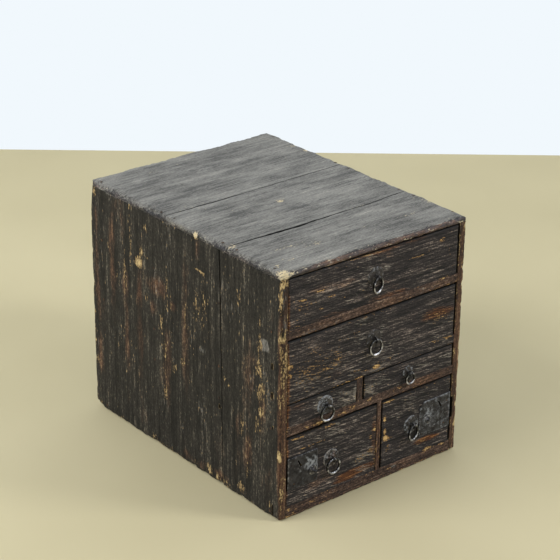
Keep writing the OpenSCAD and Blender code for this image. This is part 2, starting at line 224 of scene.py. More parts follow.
BRIGHT_SKY = colour("#f1f8fd")
wall_paint, tree = new_material("white_matt_wall_paint")
matt = add(tree, "ShaderNodeBsdfDiffuse", {"Color": colour("#e9eef2")})
glow = add(tree, "ShaderNodeEmission", {"Color": BRIGHT_SKY, "Strength": 1.0})
lit = add(tree, "ShaderNodeMixShader", {0: seen_rays(tree), 1: matt, 2: glow})
behind = add(tree, "ShaderNodeNewGeometry", {}).outputs["Backfacing"]
one_way = add(tree, "ShaderNodeMixShader", {0: behind, 1: lit, 2: add(tree, "ShaderNodeBsdfTransparent", {})})
add(tree, "ShaderNodeOutputMaterial", {"Surface": one_way})

WALL_BEHIND = 1.09
stage_sheet("floor", 6.0, floor_paint, Matrix.Identity(4))
stage_sheet("wall", 3.0, wall_paint,
            Matrix.Translation((math.sin(YAW) * WALL_BEHIND, math.cos(YAW) * WALL_BEHIND, 3.0))
            @ Matrix.Rotation(-YAW, 4, "Z") @ turn(90, "X"))
print("wall stands", WALL_BEHIND, "m behind the chest's middle")

# %% [markdown]
# The room has soft daylight from all round and two windows. The large one at the left stands behind the line
# of the front: it lights the left side and the top, and lays the short shadow on the floor to the right. The
# small one at the front right models the iron. What the iron mirrors is brighter on that side too, so each
# ring is light on its right and dark on its left.

# %% Light
BRIGHT_SIDE = (0.7, -0.55, 0.45)
LAMP_AIM = Vector((0, 0, 0.15))
world = bpy.data.worlds.new("soft_daylight")
world.use_nodes = True
tree = world.node_tree
tree.nodes.clear()
even = add(tree, "ShaderNodeBackground", {"Color": colour("#ffffff"), "Strength": 0.52})
bright = add(tree, "ShaderNodeBackground", {"Color": BRIGHT_SKY, "Strength": 1.0})
way = add(tree, "ShaderNodeTexCoord", {}).outputs["Generated"]
toward = add(tree, "ShaderNodeVectorMath", {"operation": "DOT_PRODUCT", 0: way, 1: BRIGHT_SIDE})
shade = add(tree, "ShaderNodeMapRange", {"Value": toward, "From Min": -0.4, "From Max": 0.8, "To Min": 0.25,
                                         "To Max": 1.25})
mirrored = add(tree, "ShaderNodeBackground", {"Color": BRIGHT_SKY, "Strength": shade})
glossy = add(tree, "ShaderNodeLightPath", {}).outputs["Is Glossy Ray"]
sky = add(tree, "ShaderNodeMixShader", {0: seen_rays(tree), 1: even, 2: bright})
sky = add(tree, "ShaderNodeMixShader", {0: glossy, 1: sky, 2: mirrored})
add(tree, "ShaderNodeOutputWorld", {"Surface": sky})
bpy.context.scene.world = world
bpy.context.scene.view_settings.view_transform = "Standard"


def window(name, place, size, power):
    lamp = bpy.data.lights.new(name, "AREA")
    lamp.shape, lamp.size, lamp.energy = "SQUARE", size, power
    thing = bpy.data.objects.new(name, lamp)
    thing.location = place
    thing.rotation_mode = "QUATERNION"
    thing.rotation_quaternion = (LAMP_AIM - Vector(place)).to_track_quat("-Z", "Y")
    show(thing)


window("window_left", (-2.2, 0.5, 2.0), 1.5, 54)
window("window_front_right", (1.35, -1.9, 1.9), 0.6, 28)
print("world and two windows are lit")

# %% [markdown]
# Every board gets one shader family. The real boards are softwood, stained nearly black and rubbed for
# generations. What the eye sees, from coarse to fine, is: patches where the stain is blue-black or red-brown,
# long lines of growth rings and fibres, short scratches, and flecks where the stain is gone and the wood is
# tan. One function draws them all as noise, stretched along the grain. Real fibres are about 0.3 mm wide;
# here they and the scratches are 1.5 to 2.6 mm wide, the finest that still shows at this distance.
#
# Where wear is placed one by one, a colour attribute called "wear" carries it: red is bare wood, green is
# warm thin stain, blue is pale dust and alpha is near black, painted as shade in joints, gaps, holes and
# under the top, and also used for a few listed dark marks. The same noise breaks each of them up, so a soft
# painted spot ends in splinters. Stain, warm stain and dust are three colour ramps that all read one tone, so
# the grain runs on through every patch.

# %% The wood shader
def wood(name, along, across, stain, warm, dust, bare, share=(0.28, 0.14, 0.24, 0.24, 0.1),
         scratch=(2.1, 4.0), fleck=1.73, scuff=0.89, rough=0.62, gloss=0.25, slant=0.0, seed=0.0):
    """A worn, stained board: along and across are the axes of the grain and of its width."""
    material, tree = new_material(name)
    place = add(tree, "ShaderNodeTexCoord", {}).outputs["Object"]

    def grain(cell, stretch, detail, slope=0.0, roughness=0.6):
        """Noise whose cells are so many mm wide, and longer than that along the grain."""
        size, angles = [cell / 1000] * 3, [0.0, 0.0, 0.0]
        size[along] *= stretch
        angles[3 - along - across] = slope
        at = add(tree, "ShaderNodeMapping", {"vector_type": "TEXTURE", "Vector": place, "Scale": tuple(size),
                                             "Rotation": tuple(angles), "Location": (seed, seed, seed)})
        return add(tree, "ShaderNodeTexNoise",
                   {"Scale": 1.0, "Detail": detail, "Roughness": roughness, "Vector": at})

    fibres, lines, scratches = grain(1.6, 26, 3.0), grain(7, 26, 2.0), grain(*scratch, 2.0, slant, 0.7)
    specks, clusters, patches = grain(1.9, 1.6, 1.0), grain(30, 2.4, 3.0), grain(24, 2.4, 3.0)

    # The finest noise weighs most, because fine contrast is what makes wood look old and dry. A sum of noises
    # seldom leaves the middle of its range, so the stops of the ramps lie close together.
    tone = list(zip(share, (fibres, lines, scratches, specks, patches)))
    places = (0.426, 0.475, 0.533, 0.574, 0.631)
    stained, warmed, dusted = [
        add(tree, "ShaderNodeValToRGB", {"ramp": list(zip(places, tints)), "Fac": tone})
        for tints in (stain, warm, dust)]
    painted = add(tree, "ShaderNodeAttribute", {"attribute_name": "wear"})
    wear = add(tree, "ShaderNodeSeparateColor", {"Color": painted}).outputs

    # Warm patches and a few dusty scratches come by themselves; the rest is painted.
    reddish = [(1.0, wear["Green"]), (1.3, patches), (0.4, scratches)]
    surface, _ = coat(tree, stained, warmed, reddish, 1.0, 1.5)
    dusty = [(0.5, wear["Blue"]), (0.9, scratches), (0.7, clusters)]
    surface, _ = coat(tree, surface, dusted, dusty, scuff, scuff + 0.18)

    # Where the stain is rubbed through, thin spots are brown and deep ones are pale, bare wood.
    rubbed = add(tree, "ShaderNodeMath", {"operation": "SUBTRACT", 1: fleck, 0: [
        (1.3, scratches), (0.7, specks), (0.6, clusters), (0.2, fibres), (0.8, wear["Red"])]})
    raw = add(tree, "ShaderNodeValToRGB", {"ramp": list(zip((0.1, 0.4, 0.9), bare)),
                                           "Fac": [(2.0, rubbed), (0.8, specks), (1.0, -0.3)]})
    surface, naked = coat(tree, surface, raw, rubbed, 0.0, 0.08)
    # Alpha lays near black over the rest: painted shade in joints, gaps, holes and under the top, and a few
    # listed dark marks.
    surface = add(tree, "ShaderNodeMix", {"data_type": "RGBA", "Factor": painted.outputs["Alpha"],
                                          "A": surface, "B": colour("#0b0a09")})

    # Bare wood is matt. Fibres stand about 0.4 mm proud, and a fleck is a flake deep.
    relief = add(tree, "ShaderNodeBump", {"Strength": 0.6, "Distance": 0.0016, "Height": [
        (0.5, fibres), (0.3, scratches), (0.15, specks), (-0.25, naked)]})
    shine = add(tree, "ShaderNodeBsdfPrincipled", {
        "IOR": 1.48, "Specular IOR Level": gloss, "Base Color": surface, "Normal": relief,
        "Roughness": [(0.2, naked), (1.0, rough)]})
    add(tree, "ShaderNodeOutputMaterial", {"Surface": shine})
    return material


print("wood shader is ready")

# %% [markdown]
# The finishes differ in the way the grain runs and in how the surface was used. Fronts and rails run left
# to right, sides run upright, and the top is greyer because dust and sun reached it. The scratches on the
# fronts slope a little, the way a cloth was drawn over them. Drawer boxes were never stained: they are bare,
# aged wood.

# %% Wood finishes
X, Y, Z = 0, 1, 2
BLACK = ("#0e0e10", "#221f22", "#383333", "#655b57", "#a89c91")
BROWN = ("#211613", "#3e2a20", "#5a4031", "#7d5e48", "#a88768")
RED_BROWN = ("#1e1816", "#3a2c27", "#54423a", "#746054", "#a6917f")
DUST = ("#454442", "#5c5a58", "#706e6a", "#8b8882", "#b4afa2")
RAW = ("#57412a", "#8f6d46", "#ceb37f")
front_stain = wood("black_stained_softwood_front", X, Z, BLACK,
                   warm=("#22130d", "#432718", "#603b22", "#855a37", "#b48858"),
                   dust=("#4a4541", "#656059", "#7f7a73", "#a19a91", "#ccc2b3"),
                   bare=("#5b4731", "#967448", "#d2b27b"),
                   share=(0.36, 0.16, 0.24, 0.16, 0.08), scratch=(1.5, 8.0), scuff=0.9, slant=0.22)
side_stain = wood("black_stained_softwood_side", Z, Y,
                  stain=("#131212", "#21201e", "#302d2a", "#4c4840", "#867e6f"),
                  warm=("#261d19", "#412e25", "#5b4233", "#7b604a", "#a98d6c"),
                  dust=DUST, bare=("#4b3f2f", "#826d4d", "#c8b182"),
                  share=(0.22, 0.26, 0.2, 0.22, 0.1), scratch=(2.6, 5.0), fleck=1.72, scuff=0.95, seed=0.37)
top_stain = wood("dusty_stained_softwood_top", X, Y, BLACK, BROWN,
                 dust=("#35332f", "#5a5853", "#73726d", "#807e78", "#9b9990"),
                 bare=("#77716a", "#a39a86", "#cfbf98"), share=(0.28, 0.14, 0.14, 0.16, 0.28),
                 scratch=(2.4, 4.0), fleck=1.77, rough=0.5, gloss=0.5, slant=0.3, seed=0.11)
rail_stain = wood("rubbed_stained_softwood_rail", X, Z, RED_BROWN, BROWN, DUST, RAW, fleck=1.72, seed=0.05)
upright_stain = wood("rubbed_stained_softwood_upright", Z, X, RED_BROWN, BROWN, DUST, RAW, fleck=1.72,
                     seed=0.09)
AGED = ("#4f3c28", "#5e4a31", "#6c573b", "#7d6545", "#957b55")
raw_across = wood("bare_aged_softwood_across", X, Z, AGED, AGED, DUST, RAW, fleck=2.2, rough=0.7, seed=0.21)
raw_deep = wood("bare_aged_softwood_deep", Y, X, AGED, AGED, DUST, RAW, fleck=2.2, rough=0.7, seed=0.25)
print("wood finishes:", [m.name for m in bpy.data.materials if "softwood" in m.name])

# %% [markdown]
# A worn board starts as a cube. Its edges are cut into many short lengths, closest near the arrises, so
# that every arris can later be rubbed round and chipped. Cutting evenly with subdivide_edges and then
# sliding the loops to their marks is quick and keeps clean squares, which a displaced surface needs.

# %% Cut a board
def read_points(bm):
    """The points of a bmesh as an array."""
    return np.array([v.co for v in bm.verts])


EDGE_MARKS = (0.6, 1.4, 2.4, 3.8, 5.6, 8.0)


def marks(length, step):
    """Places of the cuts along a length in mm: close at both ends, then step apart."""
    near = [m for m in EDGE_MARKS if m < length * 0.45]
    start = near[-1] if near else 0.0
    middle = np.linspace(start, length - start, max(1, round((length - 2 * start) / step)) + 1)
    return np.array(sorted({0.0, length, *near, *[length - m for m in near], *middle}))


def slab(lo, hi, steps):
    """A cut cube as a bmesh, and its points in case millimetres."""
    cuts = [marks(hi[a] - lo[a], steps[a]) for a in range(3)]
    bm = bmesh.new()
    bmesh.ops.create_cube(bm, size=1.0)
    for a in range(3):
        along = [e for e in bm.edges if abs(e.verts[0].co[a] - e.verts[1].co[a]) > 1e-5]
        bmesh.ops.subdivide_edges(bm, edges=along, cuts=len(cuts[a]) - 2, use_grid_fill=True)
    unit = read_points(bm)
    points = np.empty_like(unit)
    for a in range(3):
        which = np.rint((unit[:, a] + 0.5) * (len(cuts[a]) - 1)).astype(int)
        points[:, a] = lo[a] + cuts[a][which]
    return bm, points


test, points = slab(np.zeros(3), np.array([100.0, 12.0, 60.0]), (2.4, 4, 4))
print("a 100 x 12 x 60 mm board has", len(test.faces), "faces")
test.free()

# %% [markdown]
# Wear follows simple rules. An arris is rubbed to a quarter round whose radius changes along its length,
# and here and there it is chipped. The function below pulls each point outside that quarter round back on
# to it, once for each pair of faces that meet. The same closeness to the arris also says how bare or how
# dusty the wood is there, so shape and colour always agree. The unevenness comes from a few waves laid over
# each other in mixed directions, which is a quick and smooth noise.

# %% Rub the arrises
PAIRS = ((X, Z), (Y, Z), (X, Y))
SOFT = (0.6, 0.16, 0.0)
LEAST_ROUND = 0.15


def clamp(values):
    """Keeps values between 0 and 1."""
    return np.clip(values, 0, 1)


def wander(points, size, seed):
    """Smooth noise from -1 to 1 at each point, with features of about the given size in mm."""
    rng = np.random.default_rng(int(abs(seed) * 100) + round(size * 10))
    value = np.zeros(len(points))
    for _ in range(9):
        way = rng.normal(size=3)
        way *= 3.0 * rng.uniform(0.7, 1.8) / (size * np.linalg.norm(way))
        value += np.sin(points @ way + rng.uniform(0, 2 * math.pi))
    return np.clip(value / 4.5, -1, 1)


def quarter_round(a, b, r):
    """Distances from two faces, pulled back on to a quarter round of radius r where they lie outside it."""
    da, db = r - a, r - b
    long = np.hypot(da, db)
    outside = (da > 0) & (db > 0) & (long > r)
    pull = r / np.maximum(long, 1e-6)
    return np.where(outside, r - da * pull, a), np.where(outside, r - db * pull, b)


def rub(points, lo, hi, arrises, seed, usual=SOFT):
    """Rounds and chips the arrises. Returns the moved points, and how bare and dusty each one is."""
    new = points.copy()
    bare, dust = np.zeros(len(points)), np.zeros(len(points))
    for i, j in PAIRS:
        for ends in ("--", "-+", "+-", "++"):
            radius, bareness, dustiness = arrises.get("xyz"[i] + ends[0] + "xyz"[j] + ends[1], usual)
            gap_i = new[:, i] - lo[i] if ends[0] == "-" else hi[i] - new[:, i]
            gap_j = new[:, j] - lo[j] if ends[1] == "-" else hi[j] - new[:, j]
            reach = radius * 2.4 + 1.0
            near = np.where((gap_i < reach) & (gap_j < reach))[0]
            if not len(near):
                continue
            spot = points[near]
            slow, quick = wander(spot, 24, seed + i + 3 * j), wander(spot, 5.5, seed + 7 + i)
            chip = clamp(wander(spot, 9, seed + 19 + j) - 0.3)
            chip_size = min(3.2, 1.2 + radius * 0.7) * min(1, radius)
            r = np.maximum(radius * (1 + 0.35 * slow + 0.28 * quick) + chip * chip_size, LEAST_ROUND)
            a, b = gap_i[near], gap_j[near]
            for axis, end, moved in zip((i, j), ends, quarter_round(a, b, r)):
                new[near, axis] = lo[axis] + moved if end == "-" else hi[axis] - moved
            close = clamp(1.55 - np.maximum(a, b) / (0.9 * r + 0.8))
            worn = bareness * (1 + 0.6 * slow + 0.5 * quick + 0.5 * chip)
            bare[near] = np.maximum(bare[near], close * worn)
            dust[near] = np.maximum(dust[near], close * dustiness * (1 + 0.5 * quick))
    return new, bare, dust


print("an arris can be rubbed on", len(PAIRS) * 4, "sides of a board")

# %% [markdown]
# A few places are worn in marks listed one by one: knocks, rubbed corners, a scrape. Each mark has a place on
# one face, half a width, half a height and an amount. A row for the front gives x and z, one for the left
# side y and z, and one for the top x and y, all in case millimetres. They are turned into soft ellipsoids
# that reach a few millimetres into the wood, and add to the wear of the arrises. Amounts near 0.3 give
# scattered flecks, amounts near 1 give bare wood.

# %% Marks of use
def on_front(rows):
    return [(x, 0, z, rx, 6, rz, amount) for x, z, rx, rz, amount in rows]


def on_left(rows):
    return [(0, y, z, 6, ry, rz, amount) for y, z, ry, rz, amount in rows]


def on_top(rows):
    return [(x, y, CASE_H, rx, ry, 6, amount) for x, y, rx, ry, amount in rows]


TOP_AND_ROW_1 = [
    (3, 333, 12, 7, 1.0), (14, 334, 10, 3, 0.7), (4, 322, 8, 6, 0.7), (0, 300, 2.5, 38, 0.42),
    (6, 212, 6, 40, 0.44), (6, 150, 6, 36, 0.3), (5, 60, 6, 60, 0.26), (3, 253, 5, 8, 0.85),
    (110, 326.5, 50, 1.4, 0.34), (200, 329, 95, 1.6, 0.36), (150, 330, 8, 2, 0.6), (248, 331, 16, 2, 0.4),
    (61, 299, 9, 1.6, 0.62), (78, 287, 9, 1.4, 0.5), (100, 280, 5, 1.3, 0.45), (34, 293.5, 7, 1.6, 0.62),
    (62, 275.6, 3.5, 1.8, 0.6), (31, 281, 5, 1.5, 0.5), (88, 320, 14, 5, 0.26), (32, 276, 24, 20, 0.22),
    (218, 301.5, 24, 1.1, 0.5), (237, 304, 7, 1.8, 0.55), (238, 281.6, 3, 2, 0.55), (267, 259.6, 7, 1.8, 0.7),
    (263, 313.5, 8, 2.6, 0.62), (276, 292, 3, 10, 0.42), (282, 271, 2.5, 5, 0.5), (46, 253, 9, 2, 0.36),
    (150, 251, 16, 2, 0.32), (256, 255, 10, 1.6, 0.3), (294, 330, 6, 1.6, 0.7), (301, 290, 2, 36, 0.4),
]
ROW_2_AND_3 = [
    (1, 227, 2.5, 18, 0.5), (5, 203, 3, 8, 0.6), (3, 191, 3, 6, 0.5), (1, 150, 2.5, 50, 0.34),
    (14.5, 211, 5, 4, 0.7), (15, 198, 4, 3, 0.55), (62, 205, 50, 24, 0.19), (45, 220, 10, 2.4, 0.36),
    (67, 213, 8, 2.4, 0.36), (92, 199, 9, 2.4, 0.4), (72, 191, 10, 2.4, 0.4), (41, 197, 9, 3, 0.36),
    (117, 226, 9, 1.6, 0.36), (238, 217, 10, 2.6, 0.3), (264, 209, 20, 10, 0.27), (279, 172, 5, 1.8, 0.5),
    (256, 172, 10, 2.4, 0.3), (155, 168.7, 6, 2, 0.8), (140, 168, 7, 1.8, 0.5), (127, 161.5, 9, 1.5, 0.55),
    (110, 161.3, 6, 1.3, 0.45), (85, 157, 8, 1.2, 0.4), (46, 153, 12, 1.2, 0.3), (15, 147, 7, 3.5, 0.36),
    (61, 119.6, 14, 3, 0.75), (41, 119.4, 8, 2.6, 0.5), (99, 120, 11, 3, 0.5), (118, 122, 9, 3, 0.62),
    (146, 124.7, 6, 2, 0.4), (188, 124, 4, 2.6, 0.55), (201, 125, 10, 2.2, 0.4), (283, 125, 6, 2, 0.42),
]
LOW_ROW = [
    (0, 93, 3.5, 9, 0.9), (1.5, 60, 2.5, 40, 0.36), (3, 30, 4, 24, 0.42), (3.6, 19, 4, 8, 0.5),
    (29, 111, 14, 3, 0.5), (60, 112, 40, 2, 0.34), (78.5, 108.5, 8, 2.2, 0.45), (156.6, 78.4, 2.4, 3.4, 0.85),
    (150, 71, 3, 3.6, 0.62), (139, 90, 3, 2.4, 0.5), (160, 45, 2, 7, 0.45), (158, 31, 3, 5, 0.4),
    (149, 49.4, 6, 3, 0.36), (136, 45, 14, 3.4, 0.26), (181.5, 111, 9, 2.2, 0.75), (173.7, 87.4, 2.5, 5, 0.8),
    (174.6, 68.5, 3, 5, 0.8), (176, 59, 5, 3.6, 0.9), (184, 57, 6, 2, 0.6), (180, 42, 3, 5, 0.42),
    (168.5, 52, 1.5, 12, 0.4), (201, 37, 9, 1.4, 0.42), (242, 32.5, 14, 2.6, 0.42), (265, 34, 12, 1.6, 0.3),
    (252, 17.3, 7, 2.6, 0.85), (277, 16, 9, 2.6, 0.42), (186, 12, 6, 1.6, 0.55), (56, 10.5, 10, 2.6, 0.5),
    (16, 12.4, 5, 2.6, 0.42), (42, 9, 34, 6, 0.24), (240, 11, 30, 5, 0.28), (130, 9, 50, 3, 0.2),
    (50, 92, 40, 1.1, 0.34),
]
LEFT_SIDE = [
    (168, 331, 4.5, 5, 1.1), (285, 270, 5, 8, 0.62), (291, 253, 8, 8, 0.85), (275, 266, 9, 1.5, 0.5),
    (275, 305, 4, 7, 0.55), (281, 243, 5, 9, 0.4), (310, 296, 4, 40, 0.33), (323, 230, 4, 42, 0.34),
    (359, 245, 7, 22, 0.3), (343, 212, 4, 20, 0.3), (276, 209, 5, 7, 0.5), (243, 176, 5, 26, 0.36),
    (230, 246, 3, 20, 0.36), (227, 221, 8, 14, 0.26), (190, 228, 4, 50, 0.26), (165, 233, 8, 28, 0.33),
    (150, 230, 8, 36, 0.28), (144, 213, 5, 12, 0.3), (236, 140, 6, 28, 0.36), (197, 146, 4, 8, 0.6),
    (214, 126, 5, 8, 0.42), (235, 88, 4, 12, 0.34), (162, 286, 9, 2, 0.7), (152.5, 284, 3, 4, 0.6),
    (390, 322, 5, 10, 0.6), (394, 71, 5, 9, 0.4), (82, 277, 3, 10, 0.42), (40, 262, 3, 14, 0.36),
    (40, 228, 5, 30, 0.34), (70, 205, 3, 30, 0.3), (109, 157, 3, 6, 0.5), (100, 150, 3, 4, 0.5),
    (40, 197, 8, 12, 0.5), (36, 164, 8, 18, 0.5), (36, 140, 6, 9, 0.62), (43, 115, 9, 15, 0.48),
    (75, 108, 5, 22, 0.33), (60, 84, 4, 5, 0.4), (62, 50, 4, 14, 0.33), (57, 33, 4, 8, 0.3),
    (19, 19, 3, 6, 0.62), (142, 13, 6, 8, 0.6), (123, 8, 7, 5, 0.62), (75, 15, 8, 8, 0.62),
    (110, 10, 8, 5, 0.42), (172, 10, 5, 4, 0.5), (263, 7, 6, 5, 0.5), (339, 6, 5, 5, 0.4),
    (300, 120, 60, 60, 0.06), (60, 150, 40, 90, 0.07), (0, 165, 3, 165, 0.3), (160, 180, 70, 60, 0.06),
]
ON_TOP = [
    (4, 4, 12, 8, 0.9), (297, 308, 5, 5, 0.85), (292, 334, 7, 4, 0.5), (149.5, 184, 8, 5, 0.6),
    (297, 65, 4, 12, 0.42), (298, 200, 3, 30, 0.2), (7, 105, 9, 7, 0.5), (38, 28, 6, 2, 0.6),
    (65, 31, 22, 2.4, 0.42), (28, 35, 8, 2, 0.5), (92, 49, 20, 2.6, 0.4), (187, 38, 16, 3, 0.4),
    (249, 46, 22, 3.5, 0.42), (290, 82, 9, 6, 0.45), (12, 24, 6, 6, 0.5), (97, 44, 14, 2, 0.36),
    (60, 62, 26, 3, 0.28), (197, 346, 24, 10, 0.14), (78, 368, 12, 4, 0.3), (12, 266, 5, 4, 0.4),
    (46, 320, 9, 3, 0.32), (170, 125, 60, 4, 0.2), (230, 108, 30, 2, 0.3),
]
BARE_MARKS = on_front(TOP_AND_ROW_1 + ROW_2_AND_3 + LOW_ROW) + on_left(LEFT_SIDE) + on_top(ON_TOP)
WARM_MARKS = on_front([
    (5, 165, 8, 190, 0.95), (5, 190, 7, 60, 1.1), (298, 165, 7, 190, 0.9), (35, 331, 40, 5, 0.4),
    (180, 331, 120, 6, 0.7), (150, 253, 150, 6, 0.3), (100, 122, 60, 6, 0.2), (250, 121, 40, 7, 0.5),
    (240, 114.5, 34, 2, 0.9), (163, 66, 4, 52, 0.6), (130, 29, 30, 4.5, 1.1), (108, 23, 18, 3, 0.7),
    (252, 33, 20, 3.4, 0.9), (264, 212, 26, 9, 0.6), (150, 9, 150, 8, 0.2), (120, 262, 110, 4, 0.3),
    (156, 62, 5, 44, 0.4),
]) + on_left([
    (252, 232, 22, 15, 0.45), (216, 216, 9, 9, 0.6), (260, 200, 14, 10, 0.3), (165, 310, 6, 20, 0.5),
    (38, 150, 9, 40, 0.4), (150, 12, 60, 8, 0.3), (388, 180, 6, 120, 0.45), (352, 240, 8, 90, 0.4),
    (322, 180, 7, 120, 0.4), (292, 150, 8, 100, 0.3), (190, 200, 10, 90, 0.35), (230, 120, 8, 90, 0.35),
    (60, 120, 14, 100, 0.35), (84, 60, 8, 60, 0.35),
]) + on_top([(150, 1, 160, 3, 0.7), (120, 124, 60, 8, 0.35), (230, 230, 60, 30, 0.15)])
DUST_MARKS = on_left([
    (29.5, 233, 8, 8, 0.9), (31, 196, 3, 4, 0.6), (134, 229, 3, 4, 0.4), (155, 181, 5, 6, 0.4),
]) + on_front([
    (121.5, 142, 2.6, 9, 0.7), (140, 302, 16, 8, 0.35), (160, 300, 26, 5, 0.3), (148, 216, 22, 8, 0.3),
    (62, 148, 9, 8, 0.3), (136, 46, 14, 4, 0.35), (192, 12, 6, 2, 0.7), (232, 145, 60, 3, 0.2),
    (4, 308, 6, 26, 0.42), (4, 262, 6, 26, 0.34), (4, 215, 6, 24, 0.3),
])
DARK_MARKS = on_front([(3, 257, 2.5, 5, 1.0), (135, 302, 5, 5, 0.3)]) + on_top([
    (147, 156, 8, 4, 0.5), (164, 155, 6, 2.4, 0.55), (202, 196.5, 7, 1.8, 0.7), (282, 288, 13, 3, 0.5),
    (160, 262, 60, 3, 0.22), (230, 262, 50, 3, 0.25), (299, 180, 3, 26, 0.5), (40, 365, 28, 1.3, 0.4),
    (110, 188, 7, 2, 0.3),
])
FADE, MOST_WEAR = 1.5, 1.2


def spots(points, marks_of_use):
    """How strongly the listed marks reach each point. A mark fades out at 1.5 times its own size."""
    total = np.zeros(len(points))
    low, high = points.min(0), points.max(0)
    for x, y, z, rx, ry, rz, amount in marks_of_use:
        centre, reach = np.array((x, y, z)), np.array((rx, ry, rz))
        if ((centre + FADE * reach > low) & (centre - FADE * reach < high)).all():
            off = np.sqrt((((points - centre) / reach) ** 2).sum(1))
            total = np.maximum(total, amount * clamp(FADE - off))
    return np.minimum(total, MOST_WEAR)


print("marks of use:", len(BARE_MARKS), "bare,", len(WARM_MARKS), "warm,", len(DUST_MARKS), "dusty,",
      len(DARK_MARKS), "dark")

# %% [markdown]
# Finishing is the same for every piece: put the points in place in metres, store the wear, give the material,
# hang the piece on the body that carries it and hide the plain solids it stands for. The object itself stays
# at the origin, so its patterns don't slide when a drawer opens. Painted shade lies near black in the joints
# and gaps and under the top, where little light reaches: a function passed as dark gives it for each point.

# %% Finish a piece and make a board
def finish_piece(name, body, nodes, materials, bm, points, layers):
    """Makes an object of a shape. The four layers of wear are arrays, or one number for the whole piece."""
    mesh = bpy.data.meshes.new(name)
    bm.to_mesh(mesh)
    bm.free()
    mesh.vertices.foreach_set("co", metres(points).ravel().astype(np.float32))
    wear = mesh.attributes.new("wear", "FLOAT_COLOR", "POINT")
    layers = np.column_stack([np.broadcast_to(layer, len(points)) for layer in layers])
    wear.data.foreach_set("color", layers.ravel().astype(np.float32))
    for material in materials:
        mesh.materials.append(material)
    mesh.polygons.foreach_set("use_smooth", [True] * len(mesh.polygons))
    mesh.update()
    piece = bpy.data.objects.new(name, mesh)
    show(piece)
    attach(piece, body)
    if nodes:
        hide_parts(*nodes)
    return piece


def worn_board(name, body, nodes, materials, steps, arrises=(), seed=1.0, usual=SOFT, boxes=None,
               shape=None, inside=None, dark=None, dusty=None):
    """A board, or a few boards as one piece, with rubbed arrises and marks of use."""
    whole, all_points, all_layers = bmesh.new(), [], []
    for n, (lo, hi) in enumerate(boxes or [box_mm(*nodes)]):
        part, points = slab(lo, hi, steps)
        moved, bare, dust = rub(points, lo, hi, dict(arrises), seed + 3.1 * n, usual)
        # dark gives painted shade, near black, in the joints and gaps and under the top.
        darkening = dark(points) if dark else np.zeros(len(points))
        if dusty:
            dust = np.maximum(dust, dusty(moved))
        all_points.append(shape(moved) if shape else moved)
        all_layers.append(np.array([bare, np.zeros_like(bare), dust, darkening]))
        store = bpy.data.meshes.new("part")
        part.to_mesh(store)
        part.free()
        whole.from_mesh(store)
        bpy.data.meshes.remove(store)
    points, layers = np.concatenate(all_points), np.concatenate(all_layers, axis=1)
    for row, marks_of_use in enumerate((BARE_MARKS, WARM_MARKS, DUST_MARKS, DARK_MARKS)):
        layers[row] = np.maximum(layers[row], spots(points, marks_of_use))
    piece = finish_piece(name, body, nodes, materials, whole, points, layers)
    if inside:
        centres = np.empty(len(piece.data.polygons) * 3)
        piece.data.polygons.foreach_get("center", centres)
        deep = inside((centres.reshape(-1, 3) - CORNER) * 1000)
        piece.data.polygons.foreach_set("material_index", deep.astype(int).tolist())
    return piece


# Near black for cut faces: painted shade inside holes, slots, mortises and keyholes.
SHADED_CUT = [0.0, 0.0, 0.0, 0.9]


def carve_with(piece, cutter):
    """Cuts the cutter's shape out of a finished piece. The cut faces are painted near black, as shade in the
    hole.
    """
    mesh = bpy.data.meshes.new("cutter")
    cutter.to_mesh(mesh)
    cutter.free()
    wear = mesh.attributes.new("wear", "FLOAT_COLOR", "POINT")
    wear.data.foreach_set("color", SHADED_CUT * len(mesh.vertices))
    tool = bpy.data.objects.new("cutter", mesh)
    show(tool)
    cut = piece.modifiers.new("cut", "BOOLEAN")
    cut.operation, cut.solver, cut.object = "DIFFERENCE", "MANIFOLD", tool
    bpy.context.view_layer.update()
    carved = bpy.data.meshes.new_from_object(piece.evaluated_get(bpy.context.evaluated_depsgraph_get()))
    piece.modifiers.remove(cut)
    piece.data = carved
    bpy.data.objects.remove(tool)
    bpy.data.meshes.remove(mesh)


def carve(piece, boxes):
    """Cuts box-shaped pockets, given in case millimetres, out of a finished piece. Pockets that run into
    each other are cut in calls of their own, because a cutter mustn't cross itself."""
    cutter = bmesh.new()
    for lo, hi in boxes:
        lo, hi = metres(lo), metres(hi)
        place = Matrix.Translation((lo + hi) / 2) @ Matrix.Diagonal((*(hi - lo), 1))
        bmesh.ops.create_cube(cutter, size=1.0, matrix=place)
    carve_with(piece, cutter)


print("boards can be made")

# %% [markdown]
# The top is three boards side by side. Wood shrinks across its grain, so the two joints have opened where
# the boards pulled apart. Each joint wanders a little and is widest near the left. Dust lies on the flat
# upper face only, so the rounded arrises keep the dark stain of the sides.

# %% Top boards
HALF_GAP = 0.25


def open_joint(points, axis, along, at, path, half_width):
    """Bends the edges of two boards that meet at a joint, and opens the joint by half_width each way."""
    new = points.copy()
    off = points[:, axis] - at
    near = clamp(1 - np.abs(off) / 9)
    tight = clamp(1 - np.abs(off) / 4)
    line = points * [along == a for a in range(3)]
    centre = np.interp(points[:, along], *path) - at + 0.5 * wander(line, 16, at)
    width = np.interp(points[:, along], *half_width) * (1 + 0.3 * wander(line, 7, at + 1)) - HALF_GAP
    new[:, axis] += centre * near + np.sign(off) * width * tight
    return new


# Each joint has two tables of (places along the board, values in mm): its line and its half width.
TOP_JOINT_1 = box_mm("top_board_middle")[0][1] - HALF_GAP
TOP_JOINT_2 = box_mm("top_board_rear")[0][1] - HALF_GAP
LINE_1 = ((0, 18, 71, 112, 170, 230, 303), (106, 106, 104.7, 103.6, 106, 105.8, 112))
OPEN_1 = ((0, 14, 40, 70, 112, 150, 190, 240, 303), (0.3, 0.5, 1.1, 2.1, 2.0, 1.1, 0.7, 0.6, 0.4))
LINE_2 = ((0, 14, 125, 303), (233, 233, 233.5, 238))
OPEN_2 = ((0, 12, 40, 100, 124, 132, 270, 303), (0.3, 0.6, 0.9, 0.9, 0.7, 0.3, 0.3, 0.6))


